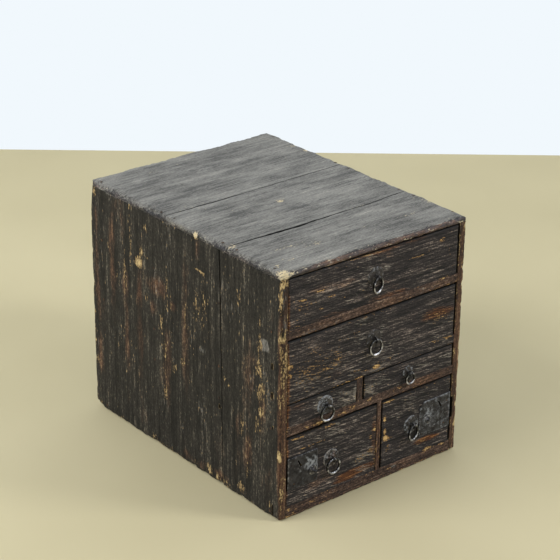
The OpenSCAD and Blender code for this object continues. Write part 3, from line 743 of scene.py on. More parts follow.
def joint_shade(points):
    """Painted shade inside the joints and under the top's edge."""
    at_joint = np.minimum(np.abs(points[:, Y] - TOP_JOINT_1), np.abs(points[:, Y] - TOP_JOINT_2)) < 0.4
    return np.maximum(at_joint * 1.0, (points[:, Z] < CASE_H - 7.5) & (points[:, Y] > 1.0))


def top_dust(points):
    """Dust on the upper face, thin and broken on the rounded arrises."""
    flat = clamp((points[:, Z] - CASE_H + 1.5) / 1.2)
    round_part = clamp((points[:, Z] - CASE_H + 6) / 4) * (0.66 + 0.22 * wander(points, 5, 12.0))
    round_part = round_part * (points[:, Y] > 8)
    left = clamp(points[:, X] / 9)
    return np.maximum(flat * (0.45 + 0.55 * left) * (1 + 0.2 * wander(points, 40, 4.0)), round_part)


def rear_corner(points):
    """The left rear corner of the case is rounded, most of all at the top."""
    new = points.copy()
    r = 3 + 9 * clamp((points[:, Z] - 270) / 60) ** 2
    new[:, X], from_rear = quarter_round(points[:, X], CASE_D - points[:, Y], r)
    new[:, Y] = CASE_D - from_rear
    return new


def top_shape(points):
    points = open_joint(rear_corner(points), Y, X, TOP_JOINT_1, LINE_1, OPEN_1)
    return open_joint(points, Y, X, TOP_JOINT_2, LINE_2, OPEN_2)


TOP_STEPS = (2.3, 4.0, 3.0)
LEFT_TOP, RIGHT_TOP = ("x-z+", (6.5, 0.1, 0.2)), ("x+z+", (5.5, 0.12, 0.15))
BELOW = [("x-z-", (0.5, 0.1, 0.0)), ("x+z-", (0.5, 0.1, 0.0))]
TIGHT_JOINT = (0.45, 0.1, 0.0)


def in_case(centres):
    """True inside the case, where the wood was never stained."""
    return ((centres[:, X] > 7) & (centres[:, X] < CASE_W - 7) & (centres[:, Y] > 9)
            & (centres[:, Y] < CASE_D - 4) & (centres[:, Z] > 4) & (centres[:, Z] < CASE_H - 4))


for n, (name, more) in enumerate((
        ("front", [("y-z+", (6.5, 0.2, 0.0)), ("x-y-", (3.0, 0.5, 0.0)), ("x+y-", (3.0, 0.3, 0.0)),
                   ("y-z-", (1.6, 0.2, 0.0))]),
        ("middle", []),
        ("rear", [("y+z+", (7.0, 0.15, 0.2)), ("x-z+", (8.0, 0.1, 0.2)), ("x+y+", (3.0, 0.3, 0.0))]))):
    worn_board("top_board_" + name + "_worn", "case", ["top_board_" + name], [top_stain, raw_across],
               TOP_STEPS, [LEFT_TOP, RIGHT_TOP, *BELOW, *more], 1.0 + n, TIGHT_JOINT, shape=top_shape,
               inside=in_case, dark=joint_shade, dusty=top_dust)
tops = [o for o in bpy.data.objects if o.name.startswith("top_board") and "worn" in o.name]
print("top boards:", [len(o.data.polygons) for o in tops])

# %% [markdown]
# The sides stand upright, two boards on the left and one on the right. On the left the joint leans and is
# open above the small drawers. The lower edges have stood on floors for a long time: they are chipped away in
# places and the rear lower corner is rounded off. Pockets for the lock bolts are cut in the inner faces. On
# the left, four old nail holes and a split at the foot are cut as well.

# %% Side boards
LEFT_JOINT = box_mm("left_side_rear")[0][1] - HALF_GAP
# Each bite out of the foot has a place along y, half a width and a depth.
FOOT_BITES = ((176, 5, 6), (150, 9, 2), (120, 8, 2.5), (78, 10, 3), (45, 6, 1.5), (19, 8, 2.5),
              (265, 16, 2.5), (330, 12, 2))


def worn_foot(points):
    """Bites out of the lower edge, deepest at the outer face."""
    new = points.copy()
    low = clamp(1 - points[:, Z] / 22)
    outer = clamp(1 - np.minimum(points[:, X], CASE_W - points[:, X]) / 11)
    line = points * (0, 1, 0)
    ragged = 0.7 + 0.5 * wander(line, 5, 3.0)
    for place, half, deep in FOOT_BITES:
        bite = clamp(1.2 - np.abs(points[:, Y] - place) / half) * deep
        new[:, Z] += bite * low * outer * ragged
    new[:, Z] += (0.8 + 0.8 * wander(line, 7, 5.0)) * low * outer
    return new


def left_joint(points):
    points = open_joint(points, Y, Z, LEFT_JOINT, ((0, 170, 328), (113.5, 115.5, 119.5)),
                        ((0, 60, 120, 165, 230, 328), (0.3, 0.4, 0.5, 0.6, 0.75, 0.8)))
    return rear_corner(worn_foot(points))


def side_shade(points):
    """Painted shade in the joint of the left side and in the gap beside the drawers."""
    at_joint = (np.abs(points[:, Y] - LEFT_JOINT) < 0.4) & (points[:, X] < 11)
    inner = (points[:, X] > 10) & (points[:, X] < CASE_W - 10)
    return np.maximum(at_joint * 1.0, inner * 0.94 * clamp((points[:, Y] - 0.3) / 0.8) * (points[:, Y] < 10))


SIDE_STEPS = (3.5, 3.6, 2.6)
SIDES = {
    "left_side_front": (left_joint, [
        ("x-y-", (2.6, 0.24, 0.0)), ("x-z-", (4.0, 0.25, 0.0)), ("y-z-", (3.5, 0.4, 0.0)),
        ("x+y-", (0.9, 0.3, 0.0)), ("x-z+", (0.5, 0.1, 0.2))]),
    "left_side_rear": (left_joint, [
        ("x-z-", (4.0, 0.2, 0.0)), ("x-y+", (3.0, 0.3, 0.0)), ("y+z-", (23.0, 0.2, 0.0)),
        ("x-z+", (0.5, 0.1, 0.2))]),
    "right_side": (worn_foot, [
        ("x+y-", (2.6, 0.35, 0.0)), ("x+z-", (4.0, 0.2, 0.0)), ("x+y+", (3.0, 0.3, 0.0)),
        ("y-z-", (3.5, 0.3, 0.0)), ("y+z-", (17.0, 0.2, 0.0)), ("x-y-", (0.9, 0.3, 0.0)),
        ("x+z+", (0.5, 0.2, 0.1))]),
}
for n, (name, (shape, arrises)) in enumerate(SIDES.items()):
    worn_board(name + "_worn", "case", [name], [side_stain, raw_across], SIDE_STEPS, arrises,
               4.0 + n, TIGHT_JOINT, shape=shape, inside=in_case, dark=side_shade)

BOLT_THROW, BOLT_GAP = 5.5, 0.3
left_bolt, right_bolt = box_mm("left_lock_bolt"), box_mm("right_lock_bolt")
left_face, right_face = box_mm("bottom_board")[0][0], box_mm("bottom_board")[1][0]


def bolt_slot(bolt, x0, x1):
    """The room of a bolt between two places along x, with a little play above, below, in front and behind."""
    return (np.array((x0, bolt[0][1] - BOLT_GAP, bolt[0][2] - BOLT_GAP)),
            np.array((x1, bolt[1][1] + BOLT_GAP, bolt[1][2] + BOLT_GAP)))


# Each hole, and last the split, has a place along y and z, half a width and half a height.
NAIL_HOLES = ((16, 210, 1.2, 3.6), (15.7, 170.5, 1.3, 4.0), (14, 127.5, 1.0, 2.2), (119.7, 113, 1.3, 2.8),
              (13.2, 8, 0.9, 11))
HOLE_DEEP = 3.5
STRIKE_DEEP, STRIKE_HALF = 3, 15


def nail_holes(first, last):
    """The holes in the left face between two places along y."""
    return [(np.array((-1, y - ry, z - rz)), np.array((HOLE_DEEP, y + ry, z + rz)))
            for y, z, ry, rz in NAIL_HOLES if first < y < last]


left_front, left_rear, right_board = [bpy.data.objects[name + "_worn"] for name in SIDES]
strike_mid = (right_bolt[0][2] + right_bolt[1][2]) / 2
strike = (np.array((right_face - 2, -4, strike_mid - STRIKE_HALF)),
          np.array((right_face + STRIKE_DEEP, right_bolt[1][1] + BOLT_GAP, strike_mid + STRIKE_HALF)))
carve(left_front, [bolt_slot(left_bolt, left_face - BOLT_THROW - 1, left_face + 2),
                   *nail_holes(0, LEFT_JOINT - 2)])
carve(left_rear, nail_holes(LEFT_JOINT - 2, CASE_D))
carve(right_board, [bolt_slot(right_bolt, right_face - 2, right_face + BOLT_THROW + 1)])
carve(right_board, [strike])
print("side boards:", [len(o.data.polygons) for o in (left_front, left_rear, right_board)])

# %% [markdown]
# Between the sides lie the bottom board and three shelves. Only their front edges show, as narrow rails
# whose stain has been rubbed thin and reddish by hands and drawers; the middle one is still as dark as the
# fronts. Two short uprights divide the small row and the lower row. Behind their front edges they are bare
# wood. The back is one plain board.

# %% Bottom, shelves, dividers and back
SHELF_STEPS = (2.4, 16.0, 3.0)
RAIL_ARRIS = [("y-z-", (0.8, 0.26, 0.0)), ("y-z+", (0.4, 0.16, 0.0))]
EDGE_DEEP = 11


def behind_edge(centres):
    """True behind the stained front edge of a rail."""
    return centres[:, Y] > EDGE_DEEP


def gap_shade(points):
    """Painted shade on the faces beside a gap, from just behind the front."""
    return 0.94 * clamp((points[:, Y] - 0.3) / 0.8) * (points[:, Y] < EDGE_DEEP)


def worn_back(points):
    """The lower corners of the back are worn away like the feet of the sides."""
    new = points.copy()
    end = np.minimum(points[:, X] - left_face, right_face - points[:, X])
    new[:, Z] += 9 * clamp(1 - end / 22) ** 2 * clamp(1 - points[:, Z] / 50)
    return new


def between(node, x0=None, x1=None, z0=None, z1=None):
    """A node's box without the parts that are let into its neighbours."""
    lo, hi = box_mm(node)
    lo = np.array([lo[0] if x0 is None else x0, lo[1], lo[2] if z0 is None else z0])
    hi = np.array([hi[0] if x1 is None else x1, hi[1], hi[2] if z1 is None else z1])
    return [(lo, hi)]


SHELVES = {"upper_shelf": rail_stain, "middle_shelf": front_stain, "lower_shelf": rail_stain}
for n, (name, stain) in enumerate(SHELVES.items()):
    worn_board(name + "_worn", "case", [name], [stain, raw_across], SHELF_STEPS, RAIL_ARRIS, 7.0 + n,
               boxes=between(name, left_face, right_face), inside=behind_edge, dark=gap_shade)
worn_board("bottom_board_worn", "case", ["bottom_board"], [rail_stain, raw_across], SHELF_STEPS,
           [("y-z-", (2.5, 0.3, 0.0)), ("y-z+", (0.6, 0.2, 0.0))], 11.0, inside=behind_edge, dark=gap_shade)
for n, (name, below, above) in enumerate((("small_divider", "lower_shelf", "middle_shelf"),
                                          ("lower_divider", "bottom_board", "lower_shelf"))):
    worn_board(name + "_worn", "case", [name], [upright_stain, raw_deep], (3.0, 16.0, 2.4),
               [("x-y-", (0.5, 0.2, 0.0)), ("x+y-", (0.8, 0.3, 0.0))], 12.0 + n, inside=behind_edge,
               dark=gap_shade, boxes=between(name, z0=box_mm(below)[1][2], z1=box_mm(above)[0][2]))
worn_board("back_board_worn", "case", ["back_board"], [side_stain, raw_across],
           (5.0, 3.0, 5.0), [("y+z-", (2.0, 0.3, 0.0))], 14.0, shape=worn_back,
           inside=lambda centres: centres[:, Y] < CASE_D - 5)
print("bottom, shelves, dividers and back are in")

# %% [markdown]
# Each drawer is a front board with a box of thin boards behind it. The front carries the look: dark stain
# with long grain, arrises rubbed by the case, and some warm streaks. A rebate behind it takes the sides and
# the bottom, so the front is made as two slabs, a wide one and a smaller one behind. The lower two fronts
# also get the slots of their lock bolts and a mortise behind each keyhole.

# %% Drawer fronts and boxes
DRAWERS = ("top_drawer", "second_drawer", "small_left_drawer", "small_right_drawer", "lower_left_drawer",
           "lower_right_drawer")
WIDE_GAP = ("second_drawer", "lower_left_drawer", "lower_right_drawer")
FRONT_STEPS = (2.4, 4.0, 2.4)
LEFT_KEY, RIGHT_KEY = np.array((31.2, 0, 74)), np.array((270.4, 0, 79))
SLAB_OVERLAP, SLAB_STEP = 0.5, 0.05  # of the smaller slab into the wide one, and below its upper edge
STAIN_DEEP = 6.9  # how far back the edges of a front are stained
MORTISE_HALF_W, MORTISE_HALF_H = 3, 6.5


def front_arrises(name):
    above = (2.2, 0.2, 0.0) if name in WIDE_GAP else (0.9, 0.16, 0.0)
    return [("x-y-", (0.7, 0.16, 0.0)), ("x+y-", (1.0, 0.2, 0.0)), ("y-z+", above),
            ("y-z-", (0.4, 0.12, 0.0))]


def front_gap_shade(name):
    """Painted shade in the gaps round a front. Where the gap is wide, it also covers the rubbed upper arris.
    """
    lo, hi = box_mm(name + "_front")
    above, beside = (2.1, 1.0) if name in WIDE_GAP else (0.7, 1.0)

    def darkening(points):
        top = clamp((points[:, Z] - hi[2] + above) / 0.7)
        right = clamp((points[:, X] - hi[0] + beside) / 0.6)
        return np.maximum(gap_shade(points), 0.92 * np.maximum(top, right) * (points[:, Y] < EDGE_DEEP))

    return darkening


DROOP = {"second_drawer": 0.9, "lower_left_drawer": 1.6, "lower_right_drawer": 0.9}
NOTCH_Z, NOTCH_WIDE, NOTCH_LONG = 63.5, 3.8, 7.5


def droop(points, name):
    """Lowers the upper edge of a front a little, as three of them have worn and shrunk."""
    top = box_mm(name + "_front")[1][2]
    new = points.copy()
    amount = DROOP.get(name, 0.0) * (1 + 0.3 * wander(points * (1, 0, 0), 30, 33.0))
    new[:, Z] -= amount * clamp((points[:, Z] - top + 14) / 14)
    return new


def edge_notch(points):
    """The cut in the left edge of the lower left front, beside its lock."""
    left = box_mm("lower_left_drawer_front")[0][0]
    new = droop(points, "lower_left_drawer")
    here = clamp(5 - np.abs(points[:, Z] - NOTCH_Z) / 5.2)
    here = here * (points[:, X] - left < NOTCH_WIDE) * (points[:, Y] < NOTCH_LONG)
    new[:, X] += here * (2.5 - 0.66 * (points[:, X] - left))
    return new


for n, name in enumerate(DRAWERS):
    lo, hi = box_mm(name + "_front")
    side_lo, side_hi = box_mm(name + "_sides")
    wall = box_mm(name + "_back")[0][0] - side_lo[0]
    floor_top = side_lo[2]
    behind = side_lo[1]
    front_boxes = [(lo, np.array([hi[0], behind, hi[2]])),
                   (np.array([lo[0] + wall, behind - SLAB_OVERLAP, floor_top]),
                    np.array([hi[0] - wall, hi[1], hi[2] - SLAB_STEP]))]
    side_boxes = [(side_lo, np.array([side_lo[0] + wall, side_hi[1], side_hi[2]])),
                  (np.array([side_hi[0] - wall, side_lo[1], side_lo[2]]), side_hi)]
    front_shape = edge_notch if name == "lower_left_drawer" else partial(droop, name=name)
    worn_board(name + "_front_worn", name, [name + "_front"], [front_stain, raw_across],
               FRONT_STEPS, front_arrises(name), 20.0 + n, boxes=front_boxes, shape=front_shape,
               inside=lambda centres: centres[:, Y] > STAIN_DEEP, dark=front_gap_shade(name))
    worn_board(name + "_sides_worn", name, [name + "_sides"], [raw_deep], (4.0, 14.0, 8.0), (),
               30.0 + n, boxes=side_boxes)
    worn_board(name + "_back_worn", name, [name + "_back"], [raw_across], (12.0, 4.0, 8.0), (),
               40.0 + n)
    worn_board(name + "_bottom_worn", name, [name + "_bottom"], [raw_deep], (10.0, 14.0, 4.0), (),
               50.0 + n)

for name, bolt, key, slot_ends in (
        ("lower_left_drawer", left_bolt, LEFT_KEY, (left_face - 1, left_bolt[1][0] + BOLT_GAP)),
        ("lower_right_drawer", right_bolt, RIGHT_KEY, (right_bolt[0][0] - BOLT_GAP, right_face + 1))):
    mortise = (key + (-MORTISE_HALF_W, -2, -MORTISE_HALF_H),
               key + (MORTISE_HALF_W, left_bolt[1][1] + BOLT_GAP, MORTISE_HALF_H))
    carve(bpy.data.objects[name + "_front_worn"], [bolt_slot(bolt, *slot_ends)])
    carve(bpy.data.objects[name + "_front_worn"], [mortise])

# %% [markdown]
# Old iron is not silver. It is dark grey oxide, nearly black in the pits, brown where it rusts and bright
# only where it is rubbed. The same "wear" attribute steers it: red is rubbed bright, green is rust, blue is
# dust and alpha is soot. Some of it is painted light: red and blue carry a painted glare round each lock's
# boss, blue is heavier on the washers' upper left as a painted highlight, and on the rings alpha is painted
# shade on the left of the wire. The pits are about 1.5 mm wide, the size left by a hammer and by rust.

# %% Iron finishes
PIT_MM = 1.5
RUST, IRON_DUST_AND_HIGHLIGHT, IRON_SOOT_AND_SHADE = ("#2e211a", "#6b4c35"), "#8d9197", "#080707"


def iron(name, dark, mid, bright, rough=0.5, metal=0.8, speckle=1.6):
    """Forged iron. A larger speckle breaks the dust up into stronger specks."""
    material, tree = new_material(name)
    place = add(tree, "ShaderNodeTexCoord", {}).outputs["Object"]
    pits = add(tree, "ShaderNodeTexNoise",
               {"Scale": 1000 / PIT_MM / 2, "Detail": 3.0, "Roughness": 0.65, "Vector": place})
    clouds = add(tree, "ShaderNodeTexNoise", {"Scale": 130.0, "Detail": 2.0, "Vector": place})
    painted = add(tree, "ShaderNodeAttribute", {"attribute_name": "wear"})
    wear = add(tree, "ShaderNodeSeparateColor", {"Color": painted}).outputs
    layers = add(tree, "ShaderNodeValToRGB", {"ramp": [(0.34, dark), (0.62, mid)], "Fac": clouds})
    brown = add(tree, "ShaderNodeValToRGB", {"ramp": list(zip((0.38, 0.62), RUST)), "Fac": pits})
    layers, rusty = coat(tree, layers, brown, [(1.4, pits), (1.0, wear["Green"])], 0.95, 1.4)
    least = 0.2 + speckle / 2
    # Blue is dust, and on the washers and lock plates also a painted highlight.
    dust_and_highlight = [(speckle, pits), (1.0, wear["Blue"])]
    layers, dusty = coat(tree, layers, colour(IRON_DUST_AND_HIGHLIGHT), dust_and_highlight, least, least + 0.65)
    layers, _ = coat(tree, layers, colour(bright), [(1.4, pits), (1.0, wear["Red"])], 1.0, 1.5)
    # Alpha lays near black: soot on plates and nails, and painted shade on the left of each ring's wire.
    darkening = add(tree, "ShaderNodeMix", {"data_type": "RGBA", "Factor": painted.outputs["Alpha"], "A": layers,
                                       "B": colour(IRON_SOOT_AND_SHADE)})
    covered = add(tree, "ShaderNodeMath", {"operation": "MAXIMUM", 0: rusty, 1: dusty})
    metallic = add(tree, "ShaderNodeMapRange", {"Value": covered, "To Min": metal, "To Max": 0.1})
    roughness = add(tree, "ShaderNodeMapRange", {"Value": covered, "To Min": rough, "To Max": 0.85})
    relief = add(tree, "ShaderNodeBump", {"Strength": 0.5, "Distance": 0.0005, "Height": pits})
    surface = add(tree, "ShaderNodeBsdfPrincipled",
                  {"Base Color": darkening, "Metallic": metallic, "Roughness": roughness, "Normal": relief})
    add(tree, "ShaderNodeOutputMaterial", {"Surface": surface})
    return material


forged = iron("dark_forged_iron", "#2b2a2d", "#424145", "#92908e")
rubbed_iron = iron("rubbed_forged_iron_rings", "#252525", "#4c4b4a", "#dedde4", rough=0.36, metal=0.9)
rusted = iron("rusty_iron_washers", "#2d2b2b", "#45403d", "#8b8680", rough=0.6, metal=0.6, speckle=2.8)
nail_iron = iron("rusty_iron_nails", "#1d1917", "#33291f", "#6b5f52", rough=0.7, metal=0.4)
print("iron finishes:", [m.name for m in bpy.data.materials if "iron" in m.name])

# %% [markdown]
# A round washer sits behind each pull. It was cut by hand from thin sheet, so its rim isn't a true circle and
# it is slightly domed by the staple. A profile of a few points is spun round the shank with bmesh's spin,
# and then the rim is pushed in and out a little.

# %% Round washers
SAME_PLACE = 1e-4


def turned(profile, steps=48):
    """Spins a closed profile of (radius, height) round the Y axis. Height stands out towards -Y."""
    bm = bmesh.new()
    ring = [bm.verts.new((r, -h, 0)) for r, h in profile]
    edges = [bm.edges.new((a, b)) for a, b in zip(ring, ring[1:] + ring[:1])]
    bmesh.ops.spin(bm, geom=ring + edges, cent=(0, 0, 0), axis=(0, 1, 0), dvec=(0, 0, 0), angle=2 * math.pi,
                   steps=steps, use_merge=True)
    bmesh.ops.remove_doubles(bm, verts=bm.verts, dist=SAME_PLACE)
    bmesh.ops.recalc_face_normals(bm, faces=bm.faces)
    return bm


def washer(name, body, node, seed, bare, rust, dust):
    """A washer with pale dust, laid heavier on its upper left as a painted highlight."""
    lo, hi = box_mm(node)
    centre, r, t = (lo + hi) / 2, (hi[0] - lo[0]) / 2, hi[1] - lo[1]
    bm = turned([(1.1, 0), (1.1, t * 1.3), (r * 0.35, t * 1.45), (r * 0.62, t * 1.1), (r - 1.6, t * 0.98),
                 (r - 0.6, t * 0.8), (r - 0.1, t * 0.4), (r, 0)])
    points = read_points(bm)
    out = np.hypot(points[:, X], points[:, Z])
    rim = wander(points * (1, 0, 1), 6, seed)
    points[:, (X, Z)] *= (1 - np.abs(rim) * 0.07 * (out > r * 0.6))[:, None]
    edge = clamp((out - r * 0.55) / (r * 0.45))
    patch = 0.5 + 0.5 * wander(points, 3.5, seed + 5)
    # The upper left is made paler as a painted highlight, on top of the dust.
    upper_left_highlight = clamp((points[:, Z] * 0.6 - points[:, X] * 0.6) / r + 0.35)
    dusty = dust * (0.5 + 0.6 * edge) * (0.6 + 0.4 * upper_left_highlight) * (0.6 + 0.6 * patch)
    layers = [bare * edge * patch, rust * patch, dusty, 0.0]
    points += (centre[0], hi[1], centre[2])
    return finish_piece(name, body, [node], [rusted], bm, points, layers)


# How bare, how rusty and how dusty each washer is.
WASHERS = {"top_drawer": (0.2, 0.3, 0.3), "second_drawer": (0.2, 0.25, 0.25),
           "small_left_drawer": (0.3, 0.1, 0.7), "small_right_drawer": (0.2, 0.3, 0.5),
           "lower_left_drawer": (1.1, 0.8, 0.6), "lower_right_drawer": (0.3, 0.2, 0.55)}
for n, name in enumerate(DRAWERS):
    washer(name + "_washer", name, name + "_plate", 60.0 + 2 * n, *WASHERS[name])
print("washers:", len(WASHERS))

# %% [markdown]
# The pull is a ring of hand-drawn wire in the eye of a staple. The staple is one piece of iron bent into an
# eye, pushed through the board, with its two legs hammered flat behind it. The ring is thinner at the top,
# where it has rubbed in the eye, and bright where fingers touch it. The left side of its wire is painted near
# black as shade, since the light comes from the right. Both start as a small circle that spin takes round,
# and then hammer marks are added.

# %% Rings and staples
def wire_loop(loop_r, wire_r, steps=44, sides=12):
    """A ring of round wire in the XZ plane, its middle at the origin."""
    bm = bmesh.new()
    bmesh.ops.create_circle(bm, segments=sides, radius=wire_r,
                            matrix=Matrix.Translation((0, 0, loop_r)) @ turn(90, "Y"))
    bmesh.ops.spin(bm, geom=bm.verts[:] + bm.edges[:], cent=(0, 0, 0), axis=(0, 1, 0), dvec=(0, 0, 0),
                   angle=2 * math.pi, steps=steps, use_merge=True)
    bmesh.ops.remove_doubles(bm, verts=bm.verts, dist=SAME_PLACE)
    bmesh.ops.recalc_face_normals(bm, faces=bm.faces)
    return bm


# Each ring's outside width and wire in mm, its twist in degrees and how much it is rubbed.
RINGS = {"top_drawer": (23, 3.2, 16, 0.65), "second_drawer": (23, 3.2, 0, 0.7),
         "small_left_drawer": (23, 3.2, 0, 0.6), "small_right_drawer": (17, 2.7, 0, 0.6),
         "lower_left_drawer": (23, 3.2, 0, 0.55), "lower_right_drawer": (23, 3.2, 13, 0.6)}


def pull_ring(name, body, node, outside, wire, twist, polish, seed):
    """A ring of the given width and wire, both in mm, turned so many degrees about the upright."""
    loop_r, wire_r = (outside - wire) / 2, wire / 2
    bm = wire_loop(loop_r, wire_r)
    points = read_points(bm)
    angle = np.arctan2(points[:, X], points[:, Z])
    spine = np.column_stack([np.sin(angle) * loop_r, np.zeros(len(points)), np.cos(angle) * loop_r])
    off = points - spine
    hammer = wander(spine, 3.2, seed)
    thick = 1.0 + 0.07 * hammer - 0.14 * clamp(np.cos(angle) - 0.6)
    points = spine * (1 + 0.012 * np.sin(2 * angle + seed))[:, None] + off * thick[:, None]
    facing = clamp(-off[:, Y] / wire_r)
    low = clamp(0.5 - 0.5 * np.cos(angle))
    to_left = np.degrees(np.arctan2(-off[:, X], -off[:, Y]))
    touched = clamp(1.25 - np.abs(to_left) / 75)
    # Alpha is painted shade: near black on the side of the wire that faces left, away from the light.
    layers = [polish * (0.35 + 0.6 * touched) * (0.55 + 0.45 * low) + 0.15 * hammer,
              0.35 * (1 - facing) * (1 - low), 0.0, 0.96 * clamp((to_left - 33) / 24)]
    points = points @ np.array(Matrix.Rotation(math.radians(twist), 3, "Z")).T
    lo, hi = box_mm(node)
    points += (lo + hi) / 2
    return finish_piece(name, body, [node], [rubbed_iron], bm, points, layers)


# The staple's eye, and its two legs with their clinched tails, in mm.
EYE_R, EYE_WIRE_R, EYE_OUT, LEG_START, LEG_APART = 2.8, 0.85, 3.6, 2.2, 0.55
TAIL = (2.1, 1.1, 8.0)


def staple(name, body, node, seed):
    """An eye with two legs, whose tails are hammered flat, one up and one down."""
    lo, hi = box_mm(node)
    mid_x, mid_z = (lo[0] + hi[0]) / 2, (lo[2] + hi[2]) / 2
    eye_y = lo[1] + EYE_OUT
    leg_y = eye_y + LEG_START
    length = hi[1] - 0.6 - leg_y
    bm = wire_loop(EYE_R, EYE_WIRE_R, 28, 10)
    bmesh.ops.rotate(bm, verts=bm.verts, cent=(0, 0, 0), matrix=Matrix.Rotation(math.radians(90), 3, "Z"))
    bmesh.ops.translate(bm, verts=bm.verts, vec=(0, eye_y, 0))
    for side in (-1, 1):
        leg = Matrix.Translation((0, leg_y + length / 2, LEG_APART * side)) @ turn(-90, "X")
        bmesh.ops.create_cone(bm, cap_ends=True, segments=10, radius1=0.95, radius2=0.75, depth=length,
                              matrix=leg)
        flat = Matrix.Translation((0, hi[1] - 0.8, side * 4.1)) @ Matrix.Diagonal((*TAIL, 1))
        tail = bmesh.ops.create_cube(bm, size=1.0, matrix=flat)
        bmesh.ops.bevel(bm, geom=list({e for v in tail["verts"] for e in v.link_edges}), offset=0.35,
                        segments=2, profile=0.5, affect="EDGES", material=-1)
    points = read_points(bm)
    points[:, (X, Z)] *= (1 + 0.05 * wander(points, 2.5, seed))[:, None]
    front = points[:, Y] < eye_y + 3.4
    layers = [0.35 * front + 0.2 * wander(points, 3, seed), 0.3 * (1 - front), 0.15 * front, 0.0]
    points += (mid_x, 0, mid_z)
    return finish_piece(name, body, [node], [forged], bm, points, layers)


for n, name in enumerate(DRAWERS):
    pull_ring(name + "_pull", name + "_ring", name + "_ring", *RINGS[name], 80.0 + 3 * n)
    staple(name + "_cotter", name, name + "_staple", 100.0 + n)
print("pulls:", len(RINGS))

# %% [markdown]
# Each lower drawer carries a lock: a thin iron plate with a slanted keyhole, a turned boss with a stud, and
# three nails. The plate starts as a finely cut slab, so its edge can be uneven. The keyhole is cut right
# through with a Boolean, and the mortise in the wood behind it keeps it dark, with its cut faces painted near
# black as shade.

# %% Lock plates
PLATE_FACE = -1.0
KEYHOLE_LEAN = -28
# The keyhole in metres: its slot's width and length, the radius of its round end and the depth of the cut.
SLOT_W, SLOT_LONG, ROUND_END_R, CUT_DEEP = 0.0022, 0.009, 0.00175, 0.006


def lock(name, body, node, key, mirrored, corner_r, dusty, seed):
    """A lock plate with one rounded upper corner, towards the middle of the chest, and a slanted keyhole."""
    lo, hi = box_mm(node)
    out = -1 if mirrored else 1
    outer, inner = (hi[0], lo[0]) if mirrored else (lo[0], hi[0])
    plate_lo, plate_hi = np.array([lo[0], PLATE_FACE, lo[2]]), np.array([hi[0], 0.0, hi[2]])
    bm, points = slab(plate_lo, plate_hi, (1.6, 1.0, 1.6))
    moved, bare, dust = rub(points, plate_lo, plate_hi, {}, seed, (0.35, 0.2, 0.1))
    beside, below = quarter_round(np.abs(moved[:, X] - inner), hi[2] - moved[:, Z], corner_r)
    moved[:, X], moved[:, Z] = inner - out * beside, hi[2] - below
    edge = np.minimum.reduce([moved[:, X] - lo[0], hi[0] - moved[:, X], moved[:, Z] - lo[2],
                              hi[2] - moved[:, Z]])
    moved[:, Y] += 0.25 * wander(moved * (1, 0, 1), 11, seed + 3) * clamp(edge / 6)
    moved[:, (X, Z)] += (0.35 * wander(moved * (1, 0, 1), 6, seed + 9) * clamp(1 - edge / 3))[:, None]
    outer_strip = clamp(1.3 - np.abs(moved[:, X] - outer) / 6) * (0 if mirrored else 1)
    # glare is a painted highlight: a pale patch round the boss, laid in as rubbed bright and as dust.
    glare = np.exp(-((moved[:, X] - (outer + out * 38)) ** 2 + (moved[:, Z] - (lo[2] + 27)) ** 2) / 110.0)
    glare *= 0.7 + 0.6 * wander(moved, 3.5, seed + 6)
    blotch = wander(moved, 4.5, seed + 2)
    rim = clamp(1 - edge / 2.2)
    layers = [np.maximum(bare, 0.4 * outer_strip + 0.3 * glare), 0.1 + 0.15 * wander(moved, 9, seed + 1),
              np.maximum(dust, dusty + 0.25 * clamp(blotch) + 0.3 * rim + (0.4 if mirrored else 0.9) * glare),
              0.5 * clamp(-0.1 - blotch)]
    piece = finish_piece(name, body, [node], [forged], bm, moved, layers)

    lean = Matrix.Translation(metres(key)) @ turn(KEYHOLE_LEAN, "Y")
    slot = bmesh.new()
    bmesh.ops.create_cube(slot, size=1.0, matrix=lean @ Matrix.Diagonal((SLOT_W, CUT_DEEP, SLOT_LONG, 1)))
    carve_with(piece, slot)
    round_end = bmesh.new()
    place = lean @ Matrix.Translation((0, 0, -SLOT_LONG / 2)) @ turn(90, "X")
    bmesh.ops.create_cone(round_end, cap_ends=True, segments=20, radius1=ROUND_END_R, radius2=ROUND_END_R,
                          depth=CUT_DEEP, matrix=place)
    carve_with(piece, round_end)
    return piece


left_lock = lock("left_lock", "lower_left_drawer", "left_lock_plate", LEFT_KEY, False, 2.0, 0.02, 120.0)
right_lock = lock("right_lock", "lower_right_drawer", "right_lock_plate", RIGHT_KEY, True, 12.0, 0.2, 130.0)
print("lock plates:", [len(o.data.polygons) for o in (left_lock, right_lock)])

# %% [markdown]
# On each plate stands a boss, a low ringed dome, with a stud in its middle, and small nails hold the plate
# at its corners. Boss and stud are one turned profile. A turned shape is too perfect for hand-made iron, so
# the stud is bent a little and the dome is dented with the same noise as before.

# %% Bosses, studs and lock nails
BOSS_IN, BOSS_DOWN = 40, 28


